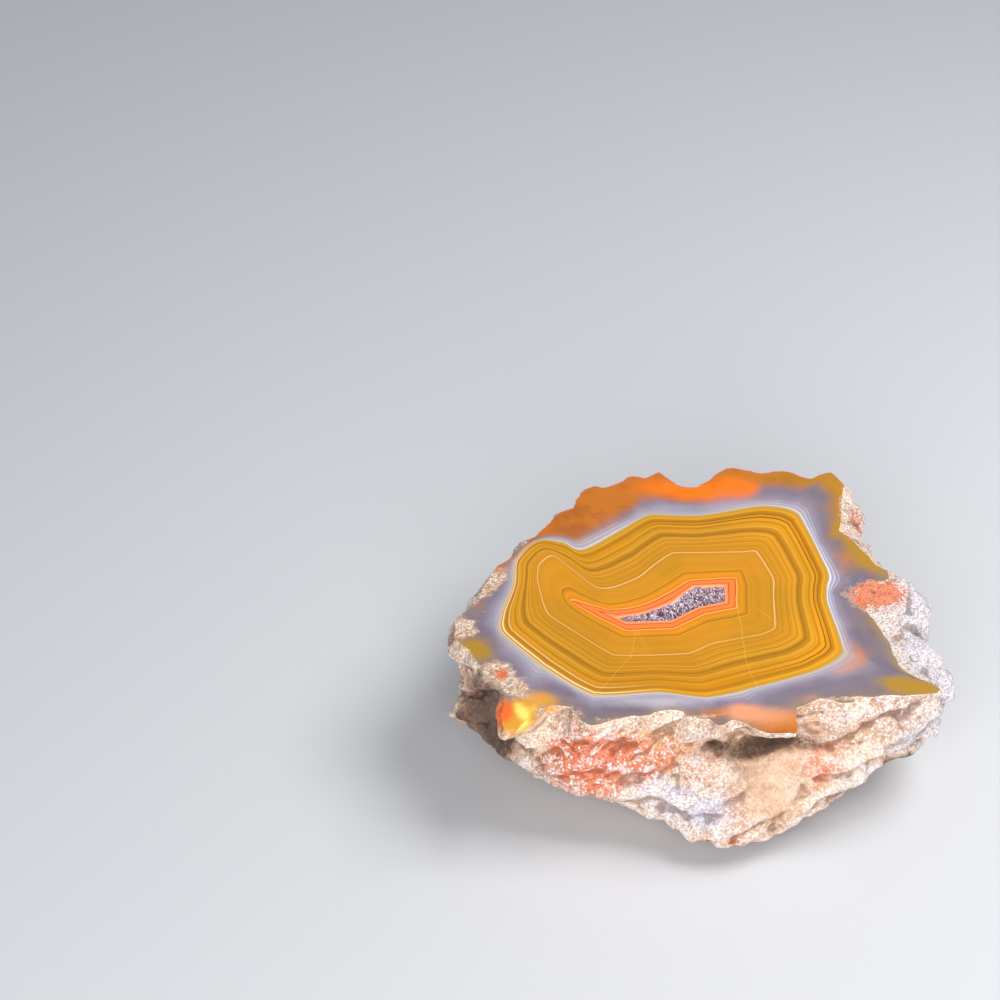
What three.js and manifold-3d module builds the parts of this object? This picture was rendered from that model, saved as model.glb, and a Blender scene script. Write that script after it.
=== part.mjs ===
// One half of a split agate nodule, lying on its rounded underside with the polished cut up.
// Millimetres. +X runs along the cut's longer side, +Y away from the ragged front edge, +Z up.
// The origin is on the table, under the middle of the stone.
//
// The stone is one solid: a flat cut face, a small hollow in its middle, and a rough rind
// below. The quartz crystals in the hollow are a crust of their own.

import * as THREE from 'three';
import { mergeVertices } from 'three/addons/utils/BufferGeometryUtils.js';
import Module from 'manifold-3d';

const solids = await Module();
solids.setup();

// Driving dimensions
const FACE_HEIGHT = 27; // cut face above the table, where y is zero
const FACE_LEAN = 3.5; // degrees that the cut dips towards the front
const FRAME_SHIFT = [0.33, 0.68]; // moves the outlines below so that the origin is under the middle
const FOOT_MIDDLE = [0, -1]; // worn flat that the stone rests on
const FOOT_HALF = [13, 11];
const CORE = [0, 0, 20]; // the rind's relief stands out along rays from here
const EDGE_STEP = 1.9; // longest facet along the cut's edge
const POCKET_DEPTH = 3.2;
const POCKET_MIDDLE = [-1.6, -1];
const CRUST_GAP = 0.32; // between the crust and the hollow's wall
const CRUST_SUNK = [0.55, 1.5, 1.9]; // depth of the crust's top at the rim, half way, middle
const CRUST_TOP_SUNK = 0.15; // nothing in the hollow comes nearer to the cut face than this
const CRYSTAL_FIELD = { corner: [-15, -6.5], columns: 20, rows: 12, spacing: 1.05 };
const CRYSTAL_INSET = 0.47; // crystals stand at least this far inside the rim
const CRYSTAL_RADIUS = [0.42, 0.72];
const CRYSTAL_TIP_SUNK = [0.25, 0.9]; // how far the crystals' tips stay below the cut face
const CRYSTAL_ROOT = 0.5; // length of a crystal below the crust's lowest top
const CRYSTAL_LEAN = 0.3; // sideways lean, as a share of the height, at most

// Rough rind: height and size of its swells, ridges, knobs, ledges and grains, and the level
// that the ridges and knobs stand out from
const SWELL = { height: 1.2, size: 12 };
const RIDGE = { height: 1.8, size: 7, level: 0.5 };
const KNOB = { height: 1.4, size: 4.6, level: 0.55 };
const LEDGE = { height: 1.4, size: 6.5, slope: 0.35, rise: 0.25, warp: 0.8, warpSize: 10 };
const GRAIN = { height: 0.5, size: 2.2 };
const RELIEF_FULL = 0.9; // ring below the edge from which the relief has its full height
const RELIEF_FADE = [4, 4.9]; // rings over which it fades out towards the foot
const EDGE_NICK = { height: 0.3, size: 2.5 }; // small breaks along the cut's edge

const STONE_COLOUR = 0xd9a441;
const CRYSTAL_COLOUR = 0x8d5f86;

// Outline of the polished cut, clockwise from its far right corner, seen from above.
// Each row starts at one of 23 corners and runs up to the next.
const EDGE = [
  [[26.5, 30.5], [26, 25], [25.5, 21], [25, 18], [26.5, 16.5], [27.5, 14.5], [29, 12]],
  [[30.5, 9], [32, 7.5], [32.5, 5.5]],
  [[29.5, 4], [26.5, 2.5], [26.5, 1], [28, -1]],
  [[28, -3], [29.5, -6.5], [31, -10.5], [31.5, -14], [32.5, -17], [34.5, -19.5], [36.5, -21]],
  [[38.5, -22], [37.5, -23], [35, -23], [32, -23.5]],
  [[29, -23.5], [25.5, -24.5], [23.5, -25.3], [22, -25.5], [20.3, -24.7]],
  [[18.5, -24.5], [16.5, -25.5], [14.5, -27], [14.5, -31], [14, -32.5], [10.5, -32.5],
    [8, -32], [6, -30.5], [4, -29.5]],
  [[1.5, -30.5], [0, -29], [-3, -29], [-4, -27.5], [-6, -27]],
  [[-8.5, -27.5], [-11.5, -28.5], [-14.5, -29], [-17.5, -30]],
  [[-19, -30.5], [-21, -29], [-22, -26.5], [-23.5, -26], [-25.5, -26]],
  [[-27, -28], [-28, -29.5], [-30, -30], [-31.5, -31.5], [-33, -31], [-33.5, -27.5],
    [-33, -25], [-33.5, -21.5], [-34.5, -19.5], [-36.5, -18.5]],
  [[-37.5, -15.5], [-39, -12.5], [-40.5, -11]],
  [[-41.5, -9], [-41, -5], [-40, -3]],
  [[-38, -1], [-37, 2], [-36, 4.5]],
  [[-34, 9], [-31, 12]],
  [[-28, 16.5], [-25.5, 20]],
  [[-24, 22.5], [-21, 24.5]],
  [[-20.5, 27], [-19, 29.5], [-17.5, 30.5]],
  [[-16, 30], [-13, 31]],
  [[-11, 33], [-9.5, 33]],
  [[-8, 32.5], [-5.5, 34], [-4.5, 33], [-3, 31], [-1.5, 30]],
  [[1, 30], [3, 31.5], [4.5, 33.5], [6, 35], [8, 35], [10, 34.5]],
  [[12.5, 34], [15.5, 34.5], [17.5, 34], [19.5, 33], [21.5, 32.5], [23, 33.5], [25, 34],
    [26, 32.5]],
];

// The rind below each corner: how far the brow stands out and drops on its way to the
// shoulder, as shares of that way, then the shoulder, the belly and the skirt in x, y, z.
const RIND = [
  [[0.8, 0.3], [27.3, 29, 20], [25, 25.5, 11], [16.5, 17, 4]],
  [[0.5, 0.3], [30, 10, 19], [29.5, 8.5, 10], [22, 5, 4]],
  [[0.85, 0.15], [36.6, 5, 20.5], [34, 3, 10], [24, 1.5, 4]],
  [[0.9, 0.22], [38, -3.5, 20], [36.5, -4, 11], [25.5, -3.5, 4]],
  [[0.5, 0.3], [38.5, -20, 18.5], [36.5, -16, 11], [28, -12.5, 4.5]],
  [[0.4, 0.3], [28.5, -25.5, 18], [28, -22.6, 10.8], [23.5, -16.5, 4.3]],
  [[0.3, 0.25], [18.5, -27.5, 17], [19.5, -29.5, 9.3], [16.5, -25.6, 4.4]],
  [[0.3, 0.25], [2.5, -30.5, 17.5], [4, -34.5, 9], [4, -33, 4]],
  [[0.4, 0.3], [-9, -29.5, 17.5], [-8.5, -32, 9.5], [-7.5, -28, 4]],
  [[0.4, 0.3], [-19.5, -30.5, 17], [-18.5, -29, 9.5], [-15, -22, 4]],
  [[0.3, 0.3], [-27.5, -27, 17], [-26.5, -23.5, 9], [-20, -17, 4]],
  [[0.3, 0.4], [-35, -16, 18], [-36, -14, 10.5], [-27, -9.5, 4]],
  [[0.3, 0.4], [-38, -10, 19.5], [-39.5, -10, 11], [-29, -5, 4]],
  [[0.35, 0.3], [-37.5, -1, 18], [-37, -1, 10], [-27, -0.5, 4]],
  [[0.35, 0.3], [-34, 9, 18], [-33, 9, 10], [-24, 6.5, 4]],
  [[0.35, 0.3], [-29, 16.5, 18], [-28, 16, 10], [-20, 12, 4]],
  [[0.35, 0.3], [-24.5, 22.5, 18.5], [-23.5, 21.5, 10], [-16.5, 15.5, 4]],
  [[0.35, 0.3], [-20.5, 27.5, 18.5], [-19.5, 26, 10], [-13.5, 18.5, 4]],
  [[0.35, 0.3], [-16, 30.5, 18.5], [-14.5, 29, 10], [-10.5, 20.5, 4]],
  [[0.35, 0.3], [-11, 33, 18.5], [-10, 31, 10], [-7.5, 21.5, 4]],
  [[0.35, 0.3], [-7.5, 33.5, 18.5], [-7, 31.5, 10], [-5, 22, 4]],
  [[0.35, 0.3], [1, 32, 18.5], [1, 31, 10], [1, 21.5, 4]],
  [[0.35, 0.3], [12.5, 34, 18.5], [12, 31.5, 10.5], [8.5, 21.5, 4]],
];

// Single features of the rind: where, how wide in x, y and z, and how far they stand out.
const FEATURES = [
  { name: 'cave under the front lip', at: [11, -29, 20.5], wide: [7.5, 6, 3.2], out: -4 },
  { name: 'tan bulge below the cave', at: [10, -34, 9], wide: [9, 6, 4], out: 0.8 },
  { name: 'hollow under the tongue', at: [-33, -22, 18.5], wide: [4.5, 6, 4.5], out: -2 },
  { name: 'thick root of the tongue', at: [-31.5, -29, 22.5], wide: [3, 3, 1.8], out: 1.8 },
  { name: 'brown lobe at the left', at: [-38, -12.5, 12.5], wide: [4, 4.5, 3.5], out: 1 },
  { name: 'ledge below the left lobe', at: [-31, -21, 11.5], wide: [5, 4, 2.5], out: 1.2 },
  { name: 'notch between the quartz lumps', at: [37.5, -6, 22], wide: [5, 1.9, 6], out: -2.6 },
  { name: 'lower quartz lump', at: [39.5, -12.5, 21.5], wide: [5, 4.2, 4.5], out: 3 },
  { name: 'red rind swell', at: [-17, -31, 12], wide: [8, 5, 5], out: 0.8 },
  { name: 'middle swell', at: [-3, -33, 17], wide: [5, 4, 3], out: 0.9 },
  { name: 'right wall ledge', at: [24, -28, 16], wide: [6, 4, 2], out: 1.3 },
];

// Long creases in the rind, from one end to the other, with their width and depth
const CREASES = [
  { name: 'left end of the cave', from: [-3, -33, 15.5], to: [5, -32, 20.5], wide: 1.4, deep: 1.5 },
  { name: 'under the right ledge', from: [23, -29, 14], to: [33, -24, 15.5], wide: 1.3, deep: 1.5 },
  { name: 'low right', from: [15, -33, 7], to: [27, -27, 7.5], wide: 1.3, deep: 1.3 },
  { name: 'left dark crevice', from: [-33, -27, 15], to: [-23, -30, 10], wide: 1.5, deep: 1.5 },
  { name: 'far side', from: [-20, 30, 16], to: [8, 35, 13], wide: 1.6, deep: 1.4 },
  { name: 'right flank', from: [35, 12, 15], to: [31, 24, 13], wide: 1.6, deep: 1.3 },
  { name: 'under the middle shelf', from: [-5, -31, 21], to: [2, -31, 20.5], wide: 1.2, deep: 1.5 },
  { name: 'low middle', from: [-9, -32, 10.5], to: [-3, -34.5, 8.5], wide: 1.1, deep: 1.2 },
];

// Places where the rind is smooth, and the share of its uneven relief that is missing there
const CALM = [
  { name: 'wall of the cave', at: [10.5, -31, 14.5], wide: [8.5, 6, 7], share: 0.8 },
  { name: 'hollow under the tongue', at: [-35.5, -20, 17], wide: [4.5, 6, 5], share: 0.7 },
  { name: 'red front left', at: [-18, -31, 14], wide: [11, 6, 8], share: 0.5 },
  { name: 'front middle', at: [-2, -32, 12], wide: [7, 6, 7], share: 0.4 },
  { name: 'quartz lumps', at: [39, -5, 21], wide: [6, 10, 6], share: 0.5 },
];

// Rim of the hollow, clockwise from its far right corner
const POCKET = [
  [4.3, 3.7], [4.3, 1.7], [4.2, -0.4], [2.5, -1], [-0.3, -1.8], [-2.7, -3.5], [-5.1, -5.3],
  [-9, -5.4], [-12.6, -5.6], [-13.9, -4.6], [-11.3, -3.7], [-9.1, -3], [-6.9, -1.8],
  [-4.7, -0.5], [-2.8, 1.5], [-1, 3.5], [1, 3.6],
];

// Rings down the hollow's wall: share of the rim's size, and share of the full depth
const POCKET_RINGS = [[0.82, 0.6], [0.5, 0.9]];

// Heights of the facet rows down the rind, counted in rings: edge, brow, shoulder, belly,
// skirt, foot
const ROWS = [0, 0.5, 1, 1.25, 1.5, 1.75, 2, 2.2, 2.45, 2.7, 2.95, 3.2, 3.5, 3.8, 4.1, 4.5, 5];

const SECTORS = EDGE.length;
const faceZ = (y) => FACE_HEIGHT + y * Math.tan(THREE.MathUtils.degToRad(FACE_LEAN));
const smoothstep = THREE.MathUtils.smoothstep;

// Curve through equally spaced values, at t between the second and the third
function cubic(a, b, c, d, t) {
  return b + 0.5 * t * (c - a + t * (2 * a - 5 * b + 4 * c - d + t * (3 * (b - c) + d - a)));
}

// Value of one of the rind's rings at u corners round the stone
function ringAt(ring, u, axis) {
  const s = Math.floor(u);
  const at = (i) => RIND[(s + i + SECTORS) % SECTORS][ring][axis];
  return cubic(at(-1), at(0), at(1), at(2), u - s);
}

// Pseudo-random number between 0 and 1 for a cell of space
function cellNumber(x, y, z, seed) {
  const h = Math.sin(x * 127.1 + y * 311.7 + z * 74.7 + seed * 53.3) * 43758.5453;
  return h - Math.floor(h);
}

// Smooth noise between -1 and 1: cell numbers blended between the corners of each cell
function smoothNoise(p, size, seed) {
  const q = p.map((v) => v / size);
  const base = q.map(Math.floor);
  const f = q.map((v, i) => smoothstep(v - base[i], 0, 1));
  let sum = 0;
  for (let corner = 0; corner < 8; corner++) {
    const step = [corner & 1, (corner >> 1) & 1, corner >> 2];
    const weight = step.reduce((w, one, i) => w * (one ? f[i] : 1 - f[i]), 1);
    sum += weight * cellNumber(base[0] + step[0], base[1] + step[1], base[2] + step[2], seed);
  }
  return 2 * sum - 1;
}

// Rounded knobs: 1 at a scattered point in each cell of space, falling to 0 between them
function knobNoise(p, size, seed) {
  const q = p.map((v) => v / size);
  const base = q.map(Math.floor);
  let nearest = 9;
  for (let cell = 0; cell < 27; cell++) {
    const c = [base[0] + (cell % 3) - 1, base[1] + (Math.floor(cell / 3) % 3) - 1,
      base[2] + Math.floor(cell / 9) - 1];
    const away = c.map((v, i) => v + cellNumber(c[0], c[1], c[2], seed + i) - q[i]);
    nearest = Math.min(nearest, Math.hypot(...away));
  }
  return Math.max(0, 1 - nearest * nearest);
}

// Ledges, between 0 and 1: going up the rind, each comes out over the first share of its
// height and goes back over the rest. They rise to the right, and noise bends them.
function ledgeNoise(p) {
  const bend = LEDGE.warp * smoothNoise(p, LEDGE.warpSize, 6);
  const level = (p[2] - LEDGE.slope * p[0]) / LEDGE.size + bend;
  const f = level - Math.floor(level);
  return f < LEDGE.rise ? f / LEDGE.rise : (1 - f) / (1 - LEDGE.rise);
}

// Distance from a point to the segment between two others
function segmentDistance(p, from, to) {
  const line = new THREE.Line3(new THREE.Vector3(...from), new THREE.Vector3(...to));
  const near = line.closestPointToPoint(new THREE.Vector3(...p), true, new THREE.Vector3());
  return near.distanceTo(new THREE.Vector3(...p));
}

// 1 at a feature's middle, falling to 0 over its width
function fall(p, { at, wide }) {
  return Math.exp(-p.reduce((sum, v, i) => sum + ((v - at[i]) / wide[i]) ** 2, 0));
}

// How far the rind stands out at a point of its smooth form
function relief(p) {
  let out = SWELL.height * smoothNoise(p, SWELL.size, 1);
  out += RIDGE.height * (RIDGE.level - Math.abs(smoothNoise(p, RIDGE.size, 2)));
  out += KNOB.height * (knobNoise(p, KNOB.size, 4) - KNOB.level);
  out += LEDGE.height * (ledgeNoise(p) - 0.5);
  out += GRAIN.height * smoothNoise(p, GRAIN.size, 8);
  for (const c of CALM) {
    out *= 1 - c.share * fall(p, c);
  }
  for (const f of FEATURES) {
    out += f.out * fall(p, f);
  }
  for (const c of CREASES) {
    out -= c.deep * Math.exp(-((segmentDistance(p, c.from, c.to) / c.wide) ** 2));
  }
  return out;
}

// Columns round the stone: points on the cut's edge no further apart than EDGE_STEP, each
// with its place u in corners
function edgeColumns() {
  const columns = [];
  EDGE.forEach((row, s) => {
    const path = [...row, EDGE[(s + 1) % SECTORS][0]].map((p) => new THREE.Vector2(...p));
    const lengths = path.slice(1).map((p, i) => p.distanceTo(path[i]));
    const total = lengths.reduce((a, b) => a + b);
    let walked = 0;
    lengths.forEach((length, i) => {
      const pieces = Math.ceil(length / EDGE_STEP);
      for (let k = 0; k < pieces; k++) {
        const at = path[i].clone().lerp(path[i + 1], k / pieces);
        const x = at.x + EDGE_NICK.height * smoothNoise([at.x, at.y, 0], EDGE_NICK.size, 12);
        const y = at.y + EDGE_NICK.height * smoothNoise([at.x, at.y, 0], EDGE_NICK.size, 13);
        columns.push({ x, y, u: s + (walked + (length * k) / pieces) / total });
      }
      walked += length;
    });
  });
  return columns;
}

// The six guiding points of one column, from the cut's edge down to the foot
function guides({ x, y, u }) {
  const ring = (i) => [ringAt(i, u, 0), ringAt(i, u, 1), ringAt(i, u, 2)];
  const [out, drop] = [ringAt(0, u, 0), ringAt(0, u, 1)];
  const edge = [x, y, faceZ(y)];
  const shoulder = ring(1);
  const brow = [x + out * (shoulder[0] - x), y + out * (shoulder[1] - y),
    edge[2] + drop * (shoulder[2] - edge[2])];
  const skirt = ring(3);
  const toSkirt = [(skirt[0] - FOOT_MIDDLE[0]) / FOOT_HALF[0],
    (skirt[1] - FOOT_MIDDLE[1]) / FOOT_HALF[1]];
  const reach = Math.hypot(...toSkirt);
  const foot = [FOOT_MIDDLE[0] + (FOOT_HALF[0] * toSkirt[0]) / reach,
    FOOT_MIDDLE[1] + (FOOT_HALF[1] * toSkirt[1]) / reach, 0];
  return [edge, brow, shoulder, ring(2), skirt, foot];
}

// Point of the smooth form, t rings below the edge in one column
function profileAt(points, t) {
  const i = Math.min(Math.floor(t), points.length - 2);
  const at = (k) => points[THREE.MathUtils.clamp(i + k, 0, points.length - 1)];
  return [0, 1, 2].map((axis) =>
    cubic(at(-1)[axis], at(0)[axis], at(1)[axis], at(2)[axis], t - i));
}

// The rind as a grid of points, rows by columns. The relief is pushed out along rays from
// the stone's core, so the surface can't fold over itself.
function rindGrid() {
  const columns = edgeColumns().map(guides);
  const core = new THREE.Vector3(...CORE);
  return ROWS.map((t) => columns.map((column) => {
    const p = new THREE.Vector3(...profileAt(column, t));
    const weight = smoothstep(t, 0, RELIEF_FULL) * (1 - smoothstep(t, ...RELIEF_FADE));
    const out = p.clone().sub(core).normalize();
    return p.addScaledVector(out, weight * relief(p.toArray())).toArray();
  }));
}

// Triangles between two rings of the same length, facing out when the upper one comes first
function band(triangles, upper, lower) {
  upper.forEach((p, i) => {
    const j = (i + 1) % upper.length;
    triangles.push([p, lower[j], lower[i]], [p, upper[j], lower[j]]);
  });
}

// Mesh of a list of triangles, each three points
function meshOf(name, triangles, colour, roughness) {
  const geometry = new THREE.BufferGeometry();
  const numbers = new Float32Array(triangles.flat(2));
  geometry.setAttribute('position', new THREE.BufferAttribute(numbers, 3));
  geometry.translate(FRAME_SHIFT[0], FRAME_SHIFT[1], 0);
  geometry.computeVertexNormals();
  const material = new THREE.MeshStandardMaterial({ color: colour, roughness, metalness: 0 });
  const mesh = new THREE.Mesh(geometry, material);
  mesh.name = name;
  return mesh;
}

// The stone: cut face with the hollow in it, rind, and flat foot
function stoneTriangles() {
  const triangles = [];
  const grid = rindGrid();
  const flat = (points) => points.map((p) => new THREE.Vector2(p[0], p[1]));
  const rim = POCKET.map(([x, y]) => [x, y, faceZ(y)]);
  const corners = [...grid[0], ...rim];
  for (const face of THREE.ShapeUtils.triangulateShape(flat(grid[0]), [flat(rim)])) {
    triangles.push(face.map((i) => corners[i]));
  }
  for (let r = 1; r < grid.length; r++) {
    band(triangles, grid[r - 1], grid[r]);
  }
  const foot = grid[grid.length - 1];
  const heel = [FOOT_MIDDLE[0], FOOT_MIDDLE[1], 0];
  foot.forEach((p, i) => triangles.push([heel, p, foot[(i + 1) % foot.length]]));

  let above = rim;
  for (const ring of pocketRings(POCKET, POCKET_DEPTH)) {
    band(triangles, ring, above);
    above = ring;
  }
  const bottom = pocketMiddle(POCKET_DEPTH);
  above.forEach((p, i) => triangles.push([bottom, above[(i + 1) % above.length], p]));
  return triangles;
}

// Ring of a hollow: its rim shrunk to a share of its size, sunk below the cut face
function pocketRing(rim, share, sunk) {
  return rim.map(([x, y]) => {
    const px = POCKET_MIDDLE[0] + share * (x - POCKET_MIDDLE[0]);
    const py = POCKET_MIDDLE[1] + share * (y - POCKET_MIDDLE[1]);
    return [px, py, faceZ(py) - sunk];
  });
}

// All rings down a hollow of the given rim and depth, and a point in its middle
function pocketRings(rim, depth) {
  return POCKET_RINGS.map(([share, sunk]) => pocketRing(rim, share, sunk * depth));
}
function pocketMiddle(sunk) {
  return [...POCKET_MIDDLE, faceZ(POCKET_MIDDLE[1]) - sunk];
}

// Outline moved inwards by a distance, each corner along its bisector
function inset(outline, distance) {
  const inward = (from, to) => {
    const length = Math.hypot(to[0] - from[0], to[1] - from[1]);
    return [(to[1] - from[1]) / length, (from[0] - to[0]) / length];
  };
  return outline.map((p, i) => {
    const a = inward(outline[(i + outline.length - 1) % outline.length], p);
    const b = inward(p, outline[(i + 1) % outline.length]);
    const k = distance / (1 + a[0] * b[0] + a[1] * b[1]);
    return [p[0] + k * (a[0] + b[0]), p[1] + k * (a[1] + b[1])];
  });
}

// Closed body between a top and the bottom of a hollow, as triangles. The top is given by
// its depth at the rim, half way in and in the middle.
function bowl(rim, depth, [sunkRim, sunkHalf, sunkMiddle]) {
  const triangles = [];
  const half = pocketRing(rim, 0.5, sunkHalf);
  const middle = pocketMiddle(sunkMiddle);
  half.forEach((p, i) => triangles.push([middle, half[(i + 1) % half.length], p]));
  const rings = [half, pocketRing(rim, 1, sunkRim), ...pocketRings(rim, depth)];
  rings.slice(1).forEach((ring, i) => band(triangles, rings[i], ring));
  const last = rings[rings.length - 1];
  const bottom = pocketMiddle(depth);
  last.forEach((p, i) => triangles.push([bottom, p, last[(i + 1) % last.length]]));
  return triangles;
}

// Solid of a geometry, its shared corners merged
function solidOf(geometry) {
  const bare = new THREE.BufferGeometry();
  const source = geometry.index ? geometry.toNonIndexed() : geometry;
  bare.setAttribute('position', source.getAttribute('position'));
  const merged = mergeVertices(bare, 1e-4);
  return new solids.Manifold(new solids.Mesh({
    numProp: 3,
    vertProperties: merged.getAttribute('position').array,
    triVerts: new Uint32Array(merged.index.array),
  }));
}
function solidOfTriangles(triangles) {
  const geometry = new THREE.BufferGeometry();
  const numbers = new Float32Array(triangles.flat(2));
  return solidOf(geometry.setAttribute('position', new THREE.BufferAttribute(numbers, 3)));
}

// Whether a point lies inside an outline
function inside(outline, x, y) {
  let crossed = false;
  outline.forEach(([ax, ay], i) => {
    const [bx, by] = outline[(i + 1) % outline.length];
    if ((ay > y) !== (by > y) && x < ax + ((bx - ax) * (y - ay)) / (by - ay)) {
      crossed = !crossed;
    }
  });
  return crossed;
}

// Six-sided quartz crystal with a pointed end, standing in the crust at x, y
function crystal(x, y, cell) {
  const pick = (range, seed) =>
    THREE.MathUtils.lerp(range[0], range[1], cellNumber(cell[0], cell[1], 0, seed));
  const radius = pick(CRYSTAL_RADIUS, 21);
  const tip = faceZ(y) - pick(CRYSTAL_TIP_SUNK, 22);
  const root = faceZ(y) - CRUST_SUNK[2] - CRYSTAL_ROOT;
  const height = tip - root;
  const profile = [[0, 0], [radius, 0], [radius, height - radius], [0, height]];
  const geometry = new THREE.LatheGeometry(profile.map((p) => new THREE.Vector2(...p)), 6);
  geometry.rotateX(Math.PI / 2);
  geometry.rotateZ(pick([0, Math.PI], 23));
  const lean = new THREE.Vector3(pick([-1, 1], 24) * CRYSTAL_LEAN,
    pick([-1, 1], 25) * CRYSTAL_LEAN, 1).normalize();
  const turn = new THREE.Quaternion().setFromUnitVectors(new THREE.Vector3(0, 0, 1), lean);
  geometry.applyQuaternion(turn);
  geometry.translate(x, y, root);
  return geometry;
}

// The crust: a thin bowl of quartz that follows the hollow, with crystals standing in it,
// trimmed to the room that the hollow leaves
function crustTriangles() {
  const level = [CRUST_TOP_SUNK, CRUST_TOP_SUNK, CRUST_TOP_SUNK];
  const room = solidOfTriangles(bowl(inset(POCKET, CRUST_GAP), POCKET_DEPTH - CRUST_GAP, level));
  let crust = solidOfTriangles(bowl(inset(POCKET, CRUST_GAP / 2), POCKET_DEPTH, CRUST_SUNK));
  const seats = inset(POCKET, CRYSTAL_INSET);
  const { corner: start, columns, rows, spacing } = CRYSTAL_FIELD;
  for (let j = 0; j < rows; j++) {
    for (let i = 0; i < columns; i++) {
      const x = start[0] + spacing * (i + (j % 2) / 2 + 0.5 * cellNumber(i, j, 0, 26));
      const y = start[1] + spacing * 0.87 * (j + 0.5 * cellNumber(i, j, 0, 27));
      if (inside(seats, x, y)) {
        crust = crust.add(solidOf(crystal(x, y, [i, j])));
      }
    }
  }
  const mesh = crust.intersect(room).getMesh();
  const corner = (i) => Array.from(mesh.vertProperties.slice(3 * i, 3 * i + 3));
  const triangles = [];
  for (let i = 0; i < mesh.triVerts.length; i += 3) {
    triangles.push(Array.from(mesh.triVerts.slice(i, i + 3)).map(corner));
  }
  return triangles;
}

const group = new THREE.Group();
group.add(meshOf('agate_half', stoneTriangles(), STONE_COLOUR, 0.45));
group.add(meshOf('druse_crust', crustTriangles(), CRYSTAL_COLOUR, 0.2));
export default group;
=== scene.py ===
# %% [markdown]
# One half of a split agate nodule, lying on its rough side with the polished cut up.
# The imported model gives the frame: its box, its two nodes and its record. Everything below
# is measured in millimetres in the stone's own outline coordinates, and is moved and scaled
# to the frame's metres when a mesh is made.

import bpy
import numpy as np
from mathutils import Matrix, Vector


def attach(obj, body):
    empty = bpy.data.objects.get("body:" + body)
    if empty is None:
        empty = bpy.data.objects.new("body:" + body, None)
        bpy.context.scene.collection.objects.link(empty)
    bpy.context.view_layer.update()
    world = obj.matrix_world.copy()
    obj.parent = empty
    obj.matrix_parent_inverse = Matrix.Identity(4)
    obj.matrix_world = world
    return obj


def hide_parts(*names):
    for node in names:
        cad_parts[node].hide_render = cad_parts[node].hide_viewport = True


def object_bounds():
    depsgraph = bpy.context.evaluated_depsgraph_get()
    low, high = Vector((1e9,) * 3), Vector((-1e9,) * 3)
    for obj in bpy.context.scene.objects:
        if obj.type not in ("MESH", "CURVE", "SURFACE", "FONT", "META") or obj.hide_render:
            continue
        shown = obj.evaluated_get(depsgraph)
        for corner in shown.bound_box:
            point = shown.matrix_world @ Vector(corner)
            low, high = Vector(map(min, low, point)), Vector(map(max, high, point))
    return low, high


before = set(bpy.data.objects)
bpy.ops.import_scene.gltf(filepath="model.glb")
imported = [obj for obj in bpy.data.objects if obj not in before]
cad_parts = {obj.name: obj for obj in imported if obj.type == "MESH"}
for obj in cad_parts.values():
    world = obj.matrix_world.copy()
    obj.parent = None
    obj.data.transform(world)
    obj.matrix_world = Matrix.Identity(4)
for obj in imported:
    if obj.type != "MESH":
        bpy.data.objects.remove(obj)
cad_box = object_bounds()
MM = 0.001
SHIFT = np.array([0.33, 0.68, 0.0])  # from outline coordinates to the frame, in mm
print("nodes:", sorted(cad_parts), "box in mm:",
      [[round(v / MM, 2) for v in corner] for corner in cad_box])

# %% [markdown]
# The camera comes first. It looks down at the cut at 36 degrees through a long lens, over
# the ragged front edge, so the bands aren't foreshortened much and the front wall shows.
# The stone sits right of the middle and low in the frame, as it does in the photograph.

# %% Camera
CAMERA_AT = (-33.405, -444.229, 371.095)
CAMERA_PITCH = 36.0  # degrees below the horizon
LENS = 120.0
SENSOR = 36.0

camera_data = bpy.data.cameras.new("camera")
camera_data.lens = LENS
camera_data.sensor_width = SENSOR
camera_data.clip_start = 0.01
camera = bpy.data.objects.new("camera", camera_data)
camera.location = [v * MM for v in CAMERA_AT]
camera.rotation_euler = (np.radians(90 - CAMERA_PITCH), 0, 0)
bpy.context.scene.collection.objects.link(camera)
bpy.context.scene.camera = camera
print("camera at", tuple(round(v, 4) for v in camera.location))

# %% [markdown]
# The cut's outline is given as a chain of points, in 23 sectors. A sector starts at a corner
# of the fortification bands and ends at the next one. The bands further in have the same 23
# corners, so a point anywhere on the cut is named by two numbers: u, the way round in
# corners, and v, the way out from the hollow's rim at 0 to the cut's edge at 4.

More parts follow.
